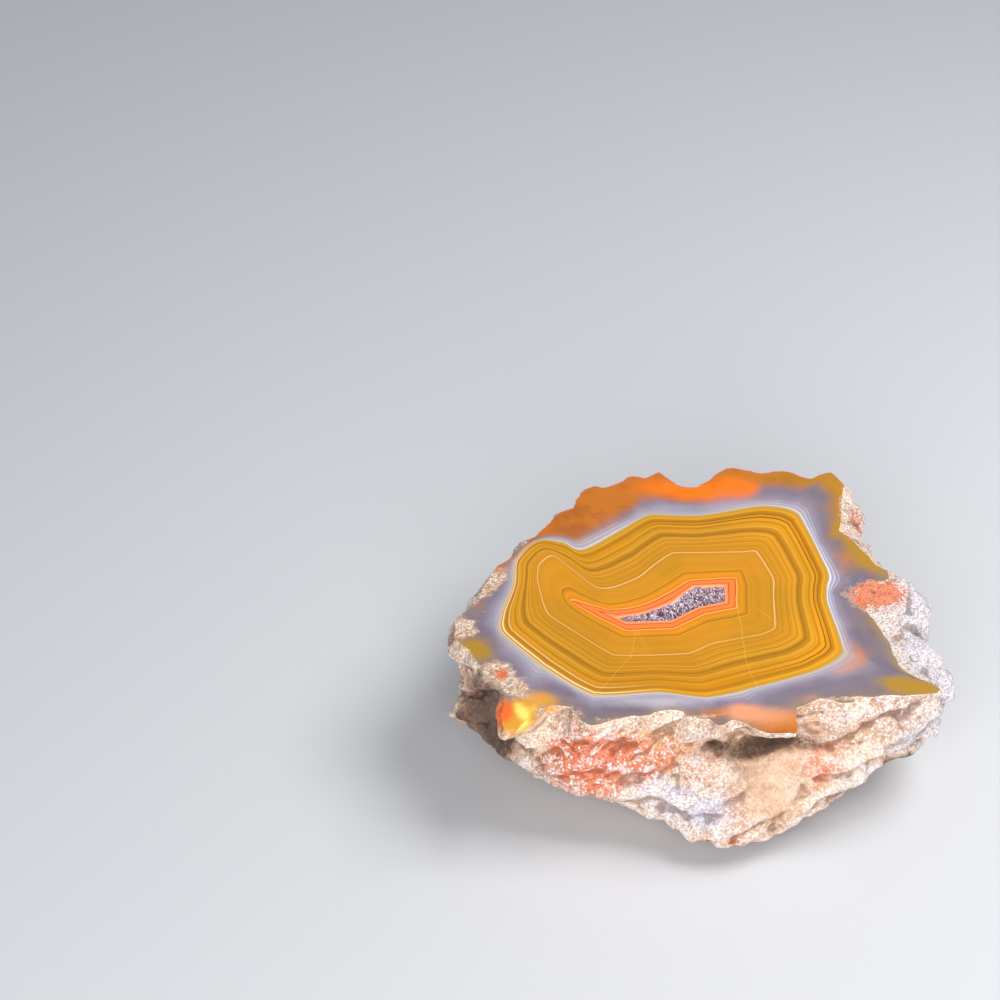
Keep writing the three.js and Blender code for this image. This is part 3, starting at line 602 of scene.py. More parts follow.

# %% [markdown]
# Where the colours lie is written on the mesh, as one number for each vertex and each kind
# of colour. Growth is exact. The others are soft spots, listed one by one: the shader breaks
# up their outlines with noise, so that no spot looks like one.

# %% Growth, and the colours of the cut
FACE_SPOTS = {  # x, y, half length, half width, turn in degrees, amount
    "fire": [(2, 28.8, 6.5, 3.0, 0, 1.0), (8.5, 30.5, 4, 2.6, 0, 0.9), (-8, 30, 5, 2.6, 8, 0.5),
             (-26, 19, 3, 2.5, 50, 0.45), (5.4, -27.6, 2.4, 1.6, -10, 0.5)],
    "amber": [(24.2, -15.0, 4.0, 2.4, 40, 0.6), (30, 10, 3.4, 5.0, 60, 0.35),
              (11.5, -30.2, 5.5, 2.4, -15, 1.1), (2, -27.8, 3, 1.2, 10, 0.5),
              (20, -16, 4.5, 1.3, 50, 0.4)],
    "olive": [(33.5, -21.4, 5.5, 2.3, -12, 1.2), (-37.6, -12.8, 2.6, 3.6, 40, 1.1),
              (-39, -3, 2.0, 3.5, 60, 0.3), (-27, 16.5, 3, 2, 50, 0.4)],
    "peach": [(9, -28.3, 5.6, 2.8, 0, 0.95), (5.4, -27.4, 2.6, 1.8, 0, 0.9),
              (17, -24.0, 3, 1.2, 20, 0.5), (23, -16.5, 4.8, 2.2, 45, 0.8)],
    "violet": [(4, -24.8, 7, 2.0, -6, 0.9), (16, -20.8, 8, 2.0, 15, 0.6),
               (-24, -22, 5, 4, -45, 0.3), (16, 26.5, 12, 2.2, 0, 0.3)],
    "milk": [(-9, -25.0, 11, 2.0, 0, 0.75), (-19, 15.5, 7, 1.6, 25, 0.7),
             (-30, 15, 3.4, 2.0, 50, 0.8), (0, 24.5, 12, 1.6, 3, 0.5)],
    "bright": [(20, -8, 4, 8, 0, 1.1), (14, 18.5, 6, 3.5, -10, 1.0), (17.5, -16, 6, 2.2, 20, 0.7),
               (17, 8, 3, 8, 10, 0.5), (-24, 9, 5, 4, 40, 0.35)],
    "deep": [(-8, -18.5, 13, 3.0, 0, 1.0), (22, -16, 3.0, 1.6, 30, 0.5), (-19, 9, 5, 3, 20, 0.3),
             (-9, -10, 10, 2, 0, 0.25)],
    "rust": [(30.1, 1.8, 4.8, 3.6, 5, 1.6), (-33.4, -18.4, 1.2, 1.6, 0, 0.9)],
    "red": [(-33.3, -27.2, 1.7, 2.8, -4, 1.4)],
    # lemon: a narrow bright streak on the tongue, a painted highlight
    "lemon_highlight": [(-30.2, -27.6, 0.9, 2.6, 25, 1.3), (-28.2, -26.8, 1.2, 1.4, 0, 0.6)],
    "honey": [(-31, -28.8, 4.6, 4.6, 25, 1.3), (-26.5, -24.5, 3.4, 2, -20, 0.7)],
    "crust": [(26.8, 23, 1.2, 6.5, 0, 1.2), (-34.3, -17.6, 2.8, 2.4, 0, 1.1),
              (-31.5, -21.5, 4.4, 2.2, -38, 1.0), (-24.4, -28, 3.4, 1.8, 0, 1.2),
              (-40.0, -7.2, 2.4, 2.6, 0, 1.25), (-35.2, 4.3, 1.7, 4.4, -33, 1.2),
              (-38.4, 0.5, 1.0, 3, -20, 0.8), (30.0, 1.7, 4.6, 3.3, 5, 1.4),
              (-12, -29.4, 8, 0.8, 0, 0.7), (-2, -28.8, 5, 0.8, 10, 0.7),
              (26, -24.4, 9, 0.7, 0, 0.8), (29, -1.5, 2.2, 1.6, -30, 0.9)],
}
AMBER_RIM = [0.75, 0.2, 0, 0, 0, 0.1, 0.1, 0, 0, 0, 0, 0, 0.1, 0.15, 0.5, 1, 1, 1, 1, 1, 1, 1, 1]
MARGIN_START = [3.6, 3.6, 3.8, 3.8, 3.8, 3.8, 3.7, 3.8, 3.8, 3.8, 3.8, 3.8, 3.6, 3.5, 3.5, 3.3,
               3.1, 3.1, 3.12, 3.2, 3.35, 3.4, 3.45]  # growth where the margin's colours set in
LINE_CORNERS = {  # u where the outer lines set in, are full, and end
    "dark_lines": (18.5, 21.0, 4.5, 7.0), "white_lines": (7.6, 9.2, 13.6, 15.4)}
# the lighter band at the top of the wall: partly cream crust, partly painted highlight where light
# catches the edge
BRIM_WIDTH = 0.16  # of a ring of the wall
DRIP = (0.4, 1.4)  # where the cut's colours start to fade down the brow, and how fast
HALO_SHARE = [0.7, 1, 1, 0.8, 0.2, 0.2, 0.3, 0.5, 0.6, 0.4, 0.3, 0.15, 0.15, 0.2, 0.3, 0.4, 0.6,
              0.6, 0.5, 0.25, 0.1, 0.1, 0.3]  # how bright the halo round the yellow zone is
OLIVE_RIM = [0.7, 0.9, 0.2, 0.45, 0.9, 0, 0, 0, 0, 0, 0, 0.4, 0.3, 0.1, 0, 0, 0, 0, 0, 0, 0, 0.1,
             0.5]  # how olive the margin of the cut is
PALE_SHARE = [0.75, 0.8, 0.9, 0.9, 0.35, 0.3, 0.35, 0.5, 0.55, 0.45, 0.35, 0.5, 0.7, 0.8, 0.9, 1,
              1, 1, 1, 0.9, 0.7, 0.6, 0.6]  # how plain the pale line is, at each corner


def turned_spots(xy, rows):
    """Sum of amount times e to the minus squared distance, along and across each spot."""
    total = np.zeros(xy.shape[:-1])
    for x, y, long, wide, turn, amount in rows:
        a = np.radians(turn)
        dx, dy = xy[..., 0] - x, xy[..., 1] - y
        along = (dx * np.cos(a) + dy * np.sin(a)) / long
        across = (dy * np.cos(a) - dx * np.sin(a)) / wide
        total += amount * np.exp(-along ** 2 - across ** 2)
    return total


def write_attribute(piece, name, values):
    """One number for each vertex, kept on the mesh for the shader."""
    layer = piece.data.attributes.new(name, "FLOAT", "POINT")
    layer.data.foreach_set("value", np.asarray(values, np.float32).ravel())


def skin_values(hollow, cut, wall):
    """One number per vertex of the skin, from a value or an array for each of its parts."""
    parts = [np.broadcast_to(part, rows.shape[:2]) for part, rows in
             ((hollow, hollow_points), (cut, face_points), (wall, wall_points))]
    body = np.concatenate(parts).ravel()
    return np.concatenate([body[:1], body, body[-1:]])


def by_corner(values):
    """A number given at each corner, straight from one to the next, at every column."""
    return np.interp(column_u, np.arange(SECTORS + 1), values + values[:1])


def margin(values, before, after):
    """A number for each corner that sets in from one side of the margin's start to the
    other, measured in growth."""
    start = by_corner(MARGIN_START)
    return by_corner(values) * smoothstep(start - before, start + after, face_growth[:, None])


cut_values = {"rim_glow": margin(AMBER_RIM, 0.2, 0.5), "olive_rim": margin(OLIVE_RIM, 0.25, 0.4),
              "halo": by_corner(HALO_SHARE)[None], "pale": by_corner(PALE_SHARE)[None]}
for name, corners in LINE_CORNERS.items():
    cut_values[name] = round_range(column_u, *corners)[None]
for name, values in cut_values.items():
    write_attribute(stone, name, skin_values(0, values, 0))
write_attribute(stone, "growth", skin_values(0, face_growth[:, None], 4))
# the band just below the edge, lighter as cream crust and as painted highlight on the edge
write_attribute(stone, "lit_brim", skin_values(0, 0, np.exp(-(wall_t[:, None] / BRIM_WIDTH) ** 2)))
reach = np.exp(-np.maximum(0, wall_t[:, None] - DRIP[0]) * DRIP[1])
for name, rows in FACE_SPOTS.items():
    write_attribute(stone, name, skin_values(0, turned_spots(face_points[..., :2], rows),
                                             turned_spots(face_points[-1:, :, :2], rows) * reach))
print("colour layers:", [a.name for a in stone.data.attributes if a.domain == "POINT"])

# %% [markdown]
# The rind's colours lie in patches too: orange-red at the front left and at the cave's
# right end, tan and smooth in the cave, dark brown at the left, white quartz at the right
# and, as on such nodules' backs, quartz, cream and peach where the photograph doesn't show
# it. The brown layer also paints shade under the cave's lip, under the middle shelf and in
# the creases. One more layer says how deep a place lies between its neighbours, for painted
# shade in the pits and bare grains on the lumps.

# %% Colours and pits of the rind
RIND_SPOTS = {
    "rind_red": [((-20, -31, 16), (8, 6, 8.5), 1.2), ((-12, -31, 18), (9, 5, 4.5), 0.75),
                 ((-2, -33, 17.5), (5, 4, 3), 0.35), ((19, -29.5, 15), (5, 5, 4), 0.85),
                 ((30.3, 1.6, 26), (3.5, 2.9, 3.4), 5.0), ((28.5, 23, 25), (2.5, 6, 3), 0.8),
                 ((4, -37, 5), (6, 4, 2.5), 0.5), ((30, 20, 17), (6, 7, 4), 0.6),
                 ((-22, 24, 14), (7, 6, 5), 0.7), ((8, 33, 17), (8, 5, 4), 0.4)],
    "rind_peach": [((-6, -31, 18), (7, 5, 4), 0.9), ((-8, -29, 22), (7, 4, 3), 0.8),
                   ((17, -26, 23), (5, 4, 3), 0.9), ((-13, -30, 21), (6, 4, 3), 0.6),
                   ((31, -24, 12), (5, 4, 3), 0.8), ((-30, -26, 16), (6, 5, 4), 0.4),
                   ((0, 34, 15), (10, 5, 6), 0.6), ((-34, 6, 16), (5, 7, 5), 0.5)],
    "rind_white": [((-6, -33, 10), (7, 5, 4), 0.8), ((1, -35, 10.5), (5, 4, 3), 1.0),
                   ((38, -10, 20), (7, 9, 8), 1.8), ((37, 2, 20), (6, 7, 8), 1.6),
                   ((10, 34, 14), (14, 6, 6), 0.7), ((-36, 4, 14), (6, 8, 6), 0.7),
                   ((28, 24, 12), (8, 8, 6), 0.5), ((33, -22, 17), (6, 5, 5), 0.8),
                   ((-9, -31, 14), (6, 4, 3), 0.5), ((25, -26, 12), (5, 4, 2.5), 0.8)],
    # brown: the hollow and the lobe at the left, then painted shade under the cave's lip and the
    # middle shelf and in the creases of the right wall and the low front
    "rind_brown_and_shade": [((-36, -20, 17), (6, 7, 8), 2.2), ((-38, -12, 12), (4, 5, 4), 0.7),
                   ((5, -38, 6), (5, 3, 2.0), 0.4), ((10.5, -28.2, 18.4), (8, 4, 1.6), 1.7),
                   ((2.0, -31, 20.4), (4, 3, 1.2), 1.1),
                   ((0, -31, 23.2), (4.5, 3, 1.8), 0.55), ((30, -22.5, 8), (7, 4.5, 3.2), 1.6),
                   ((22, -28, 9.5), (6, 4, 2), 0.9)],
    "rind_tan": [((11, -30, 16), (9, 6, 5.5), 1.2), ((10, -34, 10), (7, 5, 4), 0.9),
                 ((26, -26, 18), (8, 5, 5), 0.5), ((3, -30, 21), (5, 4, 2), 0.6)],
}
PIT_ROUNDS = [(6, 1.0), (60, 0.5)]  # how often the relief is averaged, and its share
PIT_DEPTH = 0.35  # mm, where a pit counts as deep


def neighbour_depth(push, rounds):
    """How far a place lies below the mean of its surroundings: the relief averaged with
    its four neighbours again and again, less the relief itself."""
    mean = push
    for _ in range(rounds):
        up = np.concatenate([mean[:1], mean[:-1]])
        down = np.concatenate([mean[1:], mean[-1:]])
        mean = (up + down + np.roll(mean, 1, axis=1) + np.roll(mean, -1, axis=1)) / 4
    return mean - push


# the depth of pits places painted shade in the rind's crust
pits = sum(share * neighbour_depth(wall_push, rounds) for rounds, share in PIT_ROUNDS)
print("depth of pits, 5% and 95%:", np.round(np.percentile(pits, (5, 95)), 2))
write_attribute(stone, "pits", skin_values(0, 0, np.clip(pits / PIT_DEPTH, -1, 1)))
for name, rows in RIND_SPOTS.items():
    write_attribute(stone, name, skin_values(0, spots(face_points, rows),
                                             spots(wall_points, rows)))

# %% [markdown]
# Quartz fills the hollow: a druse of small six-sided crystals, each ending in a point,
# standing on a crust that follows the hollow. All of them are one sheet of numbers: the
# corners of one crystal, times each crystal's own radius, length, turn and lean.

# %% Druse crystals
SEAT_GRID = (66, 40)
SEAT_START = (-14.5, -6.2)
CRYSTAL_SPACING = 0.29
ROW_SPACING = 0.87  # of the spacing
SEAT_SHAKE = 0.45
SEAT_ROOM = 0.1  # mm from a seat to the rim
CRYSTAL_RADIUS = (0.11, 0.24)
CRYSTAL_TIP = (0.03, 0.45)  # how far the tips stay below the cut
CRYSTAL_LENGTH = 0.9
CRYSTAL_LEAN = 0.9
CRUST_TOP = [(0, 0.75), (0.3, 0.7), (0.6, 0.6), (0.85, 0.4), (1.0, 0.16)]  # share, depth
CRUST_UNDER = [(0.86, 1.5), (0.5, 2.6), (0, 2.8)]
CRUST_FIT = 0.985  # of the rim's size
CRUST_ROUGH = (0.18, 0.7, 51)  # height and size in mm, seed
CRUST_TINT = 0.35
rng = np.random.default_rng(7)
rim_u = np.linspace(0, SECTORS, 184, endpoint=False)
rim_seats = contour_xy(HOLLOW_RIM, round_range(rim_u, *ROUND_SIDES[0]), rim_u)


def inside(xy, outline):
    """Whether points lie in an outline: an odd number of its sides cross the ray to the
    right of the point."""
    a = np.array(outline, float)
    b = np.roll(a, -1, axis=0)
    x, y = xy[:, 0, None], xy[:, 1, None]
    spans = (a[:, 1] > y) != (b[:, 1] > y)
    rise = np.where(b[:, 1] == a[:, 1], 1, b[:, 1] - a[:, 1])
    return np.sum(spans & (x < a[:, 0] + (b[:, 0] - a[:, 0]) * (y - a[:, 1]) / rise), 1) % 2 == 1


def crystal_seats():
    """A staggered grid of points over the hollow, each moved by chance, kept where a ring
    round it lies inside the rim."""
    j, i = np.mgrid[0:SEAT_GRID[1], 0:SEAT_GRID[0]]
    xy = np.stack([i + j % 2 / 2, ROW_SPACING * j], axis=-1).reshape(-1, 2)
    xy = SEAT_START + CRYSTAL_SPACING * xy
    xy = xy + rng.uniform(-SEAT_SHAKE, SEAT_SHAKE, xy.shape) * CRYSTAL_SPACING
    angle = np.linspace(0, 2 * np.pi, 8, endpoint=False)
    keep = np.ones(len(xy), bool)
    for a in angle:
        keep &= inside(xy + SEAT_ROOM * np.array([np.cos(a), np.sin(a)]), rim_seats)
    return xy[keep]


def crystals(seats):
    """For each seat, a ring of six corners at the root, one at the shoulder and a point:
    the ring's radius and the length vary, and height pulls the corners along the lean."""
    n = len(seats)
    radius = rng.uniform(*CRYSTAL_RADIUS, n) * rng.uniform(0.6, 1, n)
    angle = np.arange(6) * np.pi / 3 + rng.uniform(0, np.pi, (n, 1))
    tip = face_height(seats[:, 1]) - rng.uniform(*CRYSTAL_TIP, n)
    rise = CRYSTAL_LENGTH - radius * rng.uniform(0.9, 1.5, n)
    lean = rng.uniform(-CRYSTAL_LEAN, CRYSTAL_LEAN, (n, 2))
    flat = np.stack([np.cos(angle), np.sin(angle)], axis=-1) * radius[:, None, None]
    corners = np.zeros((n, 14, 3))
    for first, height in ((1, np.zeros(n)), (7, rise)):
        corners[:, first:first + 6, :2] = flat
        corners[:, first:first + 6, 2] = height[:, None]
    corners[:, 13, 2] = CRYSTAL_LENGTH
    corners[..., :2] += corners[..., 2:] * lean[:, None] - lean[:, None] * CRYSTAL_LENGTH
    base = np.column_stack([seats, tip - CRYSTAL_LENGTH])
    return corners + base[:, None]


def crystal_faces(count):
    """Bottom, sides and point of one crystal, repeated with each crystal's first corner
    added to its numbers."""
    i = np.arange(6)
    j = (i + 1) % 6
    low = np.column_stack([i * 0, j + 1, i + 1])
    side = np.concatenate([np.column_stack([i + 1, j + 1, j + 7]),
                           np.column_stack([i + 1, j + 7, i + 7])])
    top = np.column_stack([i + 7, j + 7, i * 0 + 13])
    one = np.concatenate([low, side, top])
    return (one + 14 * np.arange(count)[:, None, None]).reshape(-1, 3).tolist()


seats = crystal_seats()
crystal_points = crystals(seats)
crust_rim = HOLLOW_MIDDLE + CRUST_FIT * (rim_seats - HOLLOW_MIDDLE)
crust_rows = sunk_rows(crust_rim, CRUST_TOP + CRUST_UNDER)
height, size, seed = CRUST_ROUGH
crust_rows[1:len(CRUST_TOP), :, 2] += height * smooth_noise(crust_rows[1:len(CRUST_TOP)], size, seed)
crust_points = crust_rows.reshape(-1, 3)[len(rim_seats) - 1:1 - len(rim_seats)]
crust_faces = sheet_faces(len(crust_rows) - 2, len(rim_seats), True)
first = len(crust_points)
druse = make_mesh("quartz_druse",
                  np.concatenate([crust_points, crystal_points.reshape(-1, 3)]),
                  crust_faces + (np.array(crystal_faces(len(seats))) + first).tolist())
write_attribute(druse, "tint", np.concatenate([
    np.full(first, CRUST_TINT), np.repeat(rng.uniform(0, 1, len(seats)), 14)]))
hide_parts("druse_crust")
print(len(seats), "crystals; cm3 and triangles", volume(druse))

# %% [markdown]
# Materials are trees of nodes. A few small helpers keep them readable: they place a node
# and fill its sockets, do arithmetic, or mix two colours. Colours are chosen as a screen
# shows them and turned into the linear numbers that light adds up in.

# %% Node helpers
def rgb(r, g, b):
    """Linear colour of a screen colour from 0 to 255: c over 12.92 where it is dark, and
    elsewhere ((c + 0.055) / 1.055) to the power of 2.4."""
    c = np.array([r, g, b]) / 255
    linear = np.where(c <= 0.04045, c / 12.92, ((c + 0.055) / 1.055) ** 2.4)
    return (*[round(float(v), 4) for v in linear], 1.0)


def fill(tree, node, sockets):
    """Each of these inputs linked to a socket or given a value."""
    for key, value in sockets.items():
        if isinstance(value, bpy.types.NodeSocket):
            tree.links.new(value, node.inputs[key])
        else:
            node.inputs[key].default_value = value


def place(tree, kind, sockets=None, **settings):
    """A node of this kind with its settings and inputs."""
    made = tree.nodes.new(kind)
    for key, value in settings.items():
        setattr(made, key, value)
    fill(tree, made, sockets or {})
    return made


def calc(tree, operation, a, b=0.0, c=0.0, clamp=False):
    """The result of one step of arithmetic on numbers or sockets."""
    return place(tree, "ShaderNodeMath", {0: a, 1: b, 2: c}, operation=operation,
                 use_clamp=clamp).outputs[0]


def times(tree, product, *factors):
    """The product of all of them."""
    for factor in factors:
        product = calc(tree, "MULTIPLY", product, factor)
    return product


def scaled(tree, value, factor, base=0.0, clamp=False):
    """The value times a factor, plus a base."""
    return calc(tree, "MULTIPLY_ADD", value, factor, base, clamp)


def swing(tree, soft, reach, base=0.0):
    """Noise from 0 to 1, less a half, times its reach, plus a base."""
    return scaled(tree, calc(tree, "SUBTRACT", soft, 0.5), reach, base)


def vector(tree, operation, a, b, c=(0, 0, 0)):
    """One step of arithmetic on vectors: a vector, or the number that it comes to."""
    made = place(tree, "ShaderNodeVectorMath", {0: a, 1: b, 2: c}, operation=operation)
    return made.outputs["Value" if operation in ("DOT_PRODUCT", "DISTANCE") else "Vector"]


def mixed(tree, share, a, b, how="MIX"):
    """Colour a with a share of colour b. A colour is a socket or three screen numbers."""
    a, b = [c if isinstance(c, bpy.types.NodeSocket) else rgb(*c) for c in (a, b)]
    return place(tree, "ShaderNodeMix", {0: share, 6: a, 7: b}, data_type="RGBA",
                 blend_type=how).outputs[2]


def blend(tree, share, a, b):
    """Number a with a share of number b."""
    return place(tree, "ShaderNodeMix", {0: share, 2: a, 3: b}).outputs[0]


def step(tree, value, low, high):
    """0 below low and 1 above high, smooth between them. With low above high, it falls."""
    flip = low > high
    return place(tree, "ShaderNodeMapRange",
                 {"Value": value, "From Min": min(low, high), "From Max": max(low, high),
                  "To Min": float(flip), "To Max": float(not flip)},
                 interpolation_type="SMOOTHSTEP").outputs[0]


def layer(tree, name):
    """The number that the mesh carries under this name."""
    return place(tree, "ShaderNodeAttribute", attribute_name=name).outputs["Fac"]


def ramp(tree, value, stops):
    """Colour by value, straight between stops of (value, screen colour)."""
    made = place(tree, "ShaderNodeValToRGB", {0: value})
    elements = made.color_ramp.elements
    for element, (position, colour) in zip(elements, (stops[0], stops[-1])):
        element.position, element.color = position, rgb(*colour)
    for position, colour in stops[1:-1]:
        elements.new(position).color = rgb(*colour)
    return made.outputs[0]


def object_place(tree):
    """Where a point lies on the object."""
    return place(tree, "ShaderNodeTexCoord").outputs["Object"]


def shaken_place(tree, scale, reach, middle):
    """The place moved by a coloured noise, less its middle, times a reach in metres."""
    at = object_place(tree)
    soft = place(tree, "ShaderNodeTexNoise", {"Vector": at, "Scale": scale, "Detail": 2.0})
    shake = vector(tree, "SUBTRACT", soft.outputs["Color"], (middle,) * 3)
    return vector(tree, "MULTIPLY_ADD", shake, (reach,) * 3, at)


def noise(tree, size, detail=2.0, rough=0.5):
    """Soft noise from 0 to 1, whose blobs are about this size in mm."""
    return place(tree, "ShaderNodeTexNoise",
                 {"Vector": object_place(tree), "Scale": 1 / (size * MM), "Detail": detail,
                  "Roughness": rough}).outputs[0]


def cells(tree, at, scale):
    """A Voronoi pattern: distances from its scattered points, and three random numbers."""
    made = place(tree, "ShaderNodeTexVoronoi", {"Vector": at, "Scale": scale})
    pick = place(tree, "ShaderNodeSeparateColor", {0: made.outputs["Color"]}).outputs
    return made.outputs["Distance"], pick


def new_group(name, inputs, outputs):
    """An empty node group with these sockets; returns it with its two end nodes."""
    tree = bpy.data.node_groups.new(name, "ShaderNodeTree")
    for label, kind, value in inputs:
        tree.interface.new_socket(name=label, in_out="INPUT",
                                  socket_type=kind).default_value = value
    for label, kind in outputs:
        tree.interface.new_socket(name=label, in_out="OUTPUT", socket_type=kind)
    return tree, tree.nodes.new("NodeGroupInput").outputs, tree.nodes.new("NodeGroupOutput")


def use_group(tree, group, sockets):
    """One use of a group with its own values."""
    return place(tree, "ShaderNodeGroup", sockets, node_tree=group).outputs


def new_material(name):
    """An empty material whose Principled shader goes to its output."""
    material = bpy.data.materials.new(name)
    material.use_nodes = True
    tree = material.node_tree
    tree.nodes.clear()
    shader = tree.nodes.new("ShaderNodeBsdfPrincipled")
    place(tree, "ShaderNodeOutputMaterial", {"Surface": shader.outputs[0]})
    return material, tree, shader


QUARTZ_IOR = 1.54
BUMP_DEPTH = 0.0005  # metres
BUMP_STRENGTH = 0.9


def finish_stone(tree, shader, colour, rough, height, **more):
    """The stone's colour, roughness and bump, and other settings by their names."""
    bump = place(tree, "ShaderNodeBump", {"Height": height, "Distance": BUMP_DEPTH,
                                          "Strength": BUMP_STRENGTH}).outputs[0]
    fill(tree, shader, {"Base Color": colour, "Roughness": rough, "Normal": bump,
                        "IOR": QUARTZ_IOR, **more})


print("bright ochre is", rgb(218, 160, 40))

# %% [markdown]
# Four effects are used again and again, so each is a node group. A growth line is a thin
# band at one value of growth. A hairline is a thin healed crack along a straight piece
# over the cut. Flecks are small scattered specks. The crust is the granular rind, which
# also shows in patches at the margin of the cut.

# %% Group: growth line
FLOAT, COLOUR, VECTOR = "NodeSocketFloat", "NodeSocketColor", "NodeSocketVector"


def make_growth_line():
    """Mask: one at the line's position, falling to zero at its half width."""
    tree, given, result = new_group(
        "growth_line", [("Growth", FLOAT, 0.0), ("Position", FLOAT, 0.0),
                        ("Half width", FLOAT, 0.02)], [("Mask", FLOAT)])
    away = calc(tree, "ABSOLUTE", calc(tree, "SUBTRACT", given[0], given[1]))
    fill(tree, result, {0: step(tree, calc(tree, "DIVIDE", away, given[2]), 1.0, 0.35)})
    return tree


growth_line = make_growth_line()
print(growth_line.name, len(growth_line.nodes), "nodes")

# %% Group: hairline
def make_hairline():
    """Mask: one on the piece from A to B, seen from above, falling to zero at its width.
    The nearest point is A plus t times (B less A), with t clamped between 0 and 1."""
    tree, given, result = new_group(
        "hairline", [("A", VECTOR, (0, 0, 0)), ("B", VECTOR, (0, 0, 0)),
                     ("Width", FLOAT, 0.0001)], [("Mask", FLOAT)])
    at = vector(tree, "MULTIPLY", shaken_place(tree, 400.0, 0.0006, 0.5), (1.0, 1.0, 0.0))
    line = vector(tree, "SUBTRACT", given[1], given[0])
    reach = vector(tree, "SUBTRACT", at, given[0])
    share = calc(tree, "DIVIDE", vector(tree, "DOT_PRODUCT", reach, line),
                 vector(tree, "DOT_PRODUCT", line, line), clamp=True)
    nearest = place(tree, "ShaderNodeVectorMath", {0: line, "Scale": share},
                    operation="SCALE").outputs[0]
    away = calc(tree, "DIVIDE", vector(tree, "DISTANCE", reach, nearest), given[2])
    fill(tree, result, {0: step(tree, away, 1.0, 0.1)})
    return tree


hairline = make_hairline()
print(hairline.name, len(hairline.nodes), "nodes")

# %% Group: flecks
def make_flecks():
    """Mask: small discs at scattered points, kept only in the cells whose random number
    is below the amount."""
    tree, given, result = new_group(
        "flecks", [("Size", FLOAT, 0.001), ("Amount", FLOAT, 0.3), ("Radius", FLOAT, 0.3)],
        [("Mask", FLOAT)])
    distance, pick = cells(tree, object_place(tree), calc(tree, "DIVIDE", 1.0, given[0]))
    kept = calc(tree, "LESS_THAN", pick[0], given[1])
    disc = step(tree, calc(tree, "DIVIDE", distance, given[2]), 1.0, 0.5)
    fill(tree, result, {0: times(tree, kept, disc)})
    return tree


flecks = make_flecks()
print(flecks.name, len(flecks.nodes), "nodes")

# %% Group: granular crust
SUGAR_SCALE = 2500.0  # grains to a metre
LUMP_SCALE = 950.0
WARM_STAIN = (238, 190, 140)
# tone of the painted shade in the gaps between grains and in deep pits
CREVICE_SHADE = (120, 90, 76)


def make_crust():
    """Sugary grains are the cells of a fine Voronoi pattern: a cell's random number is set
    against a chance, which soft noise, the amount and the pits move up and down, and picks
    bare quartz or stained stone. Gaps between grains and deep pits get painted shade."""
    tree, given, result = new_group(
        "granular_crust",
        [("Stain", COLOUR, (0.5, 0.4, 0.3, 1)), ("Grain colour", COLOUR, (0.8, 0.75, 0.7, 1)),
         ("Grains", FLOAT, 0.5), ("Pits", FLOAT, 0.0), ("Smooth", FLOAT, 0.0)],
        [("Color", COLOUR), ("Roughness", FLOAT), ("Height", FLOAT)])
    stain, grain, amount, pits, smooth = given[:5]
    at = shaken_place(tree, 1600.0, 0.0005, 0.0)
    sugar, pick = cells(tree, at, SUGAR_SCALE)
    lumps, lump = cells(tree, at, LUMP_SCALE)
    broad = noise(tree, 4.0, 4.0, 0.6)
    fine = noise(tree, 1.1, 5.0, 0.65)

    shade = swing(tree, fine, 0.7, scaled(tree, lump[0], 0.2, 0.9))
    warm = times(tree, step(tree, broad, 0.42, 0.7),
                 scaled(tree, smooth, -0.36, 0.4, clamp=True))
    grey = place(tree, "ShaderNodeCombineColor", {0: shade, 1: shade, 2: shade}).outputs[0]
    colour = mixed(tree, 1.0, mixed(tree, warm, stain, WARM_STAIN), grey, "MULTIPLY")
    chance = swing(tree, broad, 2.0, scaled(tree, pits, -0.22, amount))
    chance = swing(tree, fine, 1.2, chance)
    over = calc(tree, "SUBTRACT", chance, scaled(tree, pick[0], 0.8, 0.1))
    bare = times(tree, step(tree, over, 0.0, 0.12), scaled(tree, smooth, -0.8, 0.9, clamp=True),
                 scaled(tree, pick[1], 0.45, 0.55))
    colour = mixed(tree, bare, colour, grain)
    # painted shade: gaps between grains and deep pits darken toward the stain times the shade tone
    grain_gap_shade = times(tree, step(tree, sugar, 0.38, 0.8), scaled(tree, smooth, -0.3, 0.42))
    deep = times(tree, step(tree, swing(tree, fine, 1.4, pits), 0.4, 1.1), 0.65)
    colour = mixed(tree, calc(tree, "MAXIMUM", grain_gap_shade, deep), colour,
                   mixed(tree, 1.0, stain, CREVICE_SHADE, "MULTIPLY"))

    height = scaled(tree, sugar, -0.42, scaled(tree, lumps, -0.5, 0.5))
    height = scaled(tree, fine, 0.9, scaled(tree, pick[1], 0.12, height))
    rough = scaled(tree, times(tree, bare, pick[2]), -0.6, 0.8)
    fill(tree, result, {"Color": colour, "Roughness": rough, "Height": height})
    return tree


granular_crust = make_crust()
print(granular_crust.name, len(granular_crust.nodes), "nodes")

# %% [markdown]
# The polished cut. Its colour is built from the middle out: a ramp over the growth gives
# the orange band, the ochre layers, the yellow boundary, the milky halo and the grey
# translucent outer layer. Over it come fine bands, which are noise that only changes with
# growth, then the single lines, then the glow and stains of the margin, the healed cracks,
# and last the patches of rough crust.

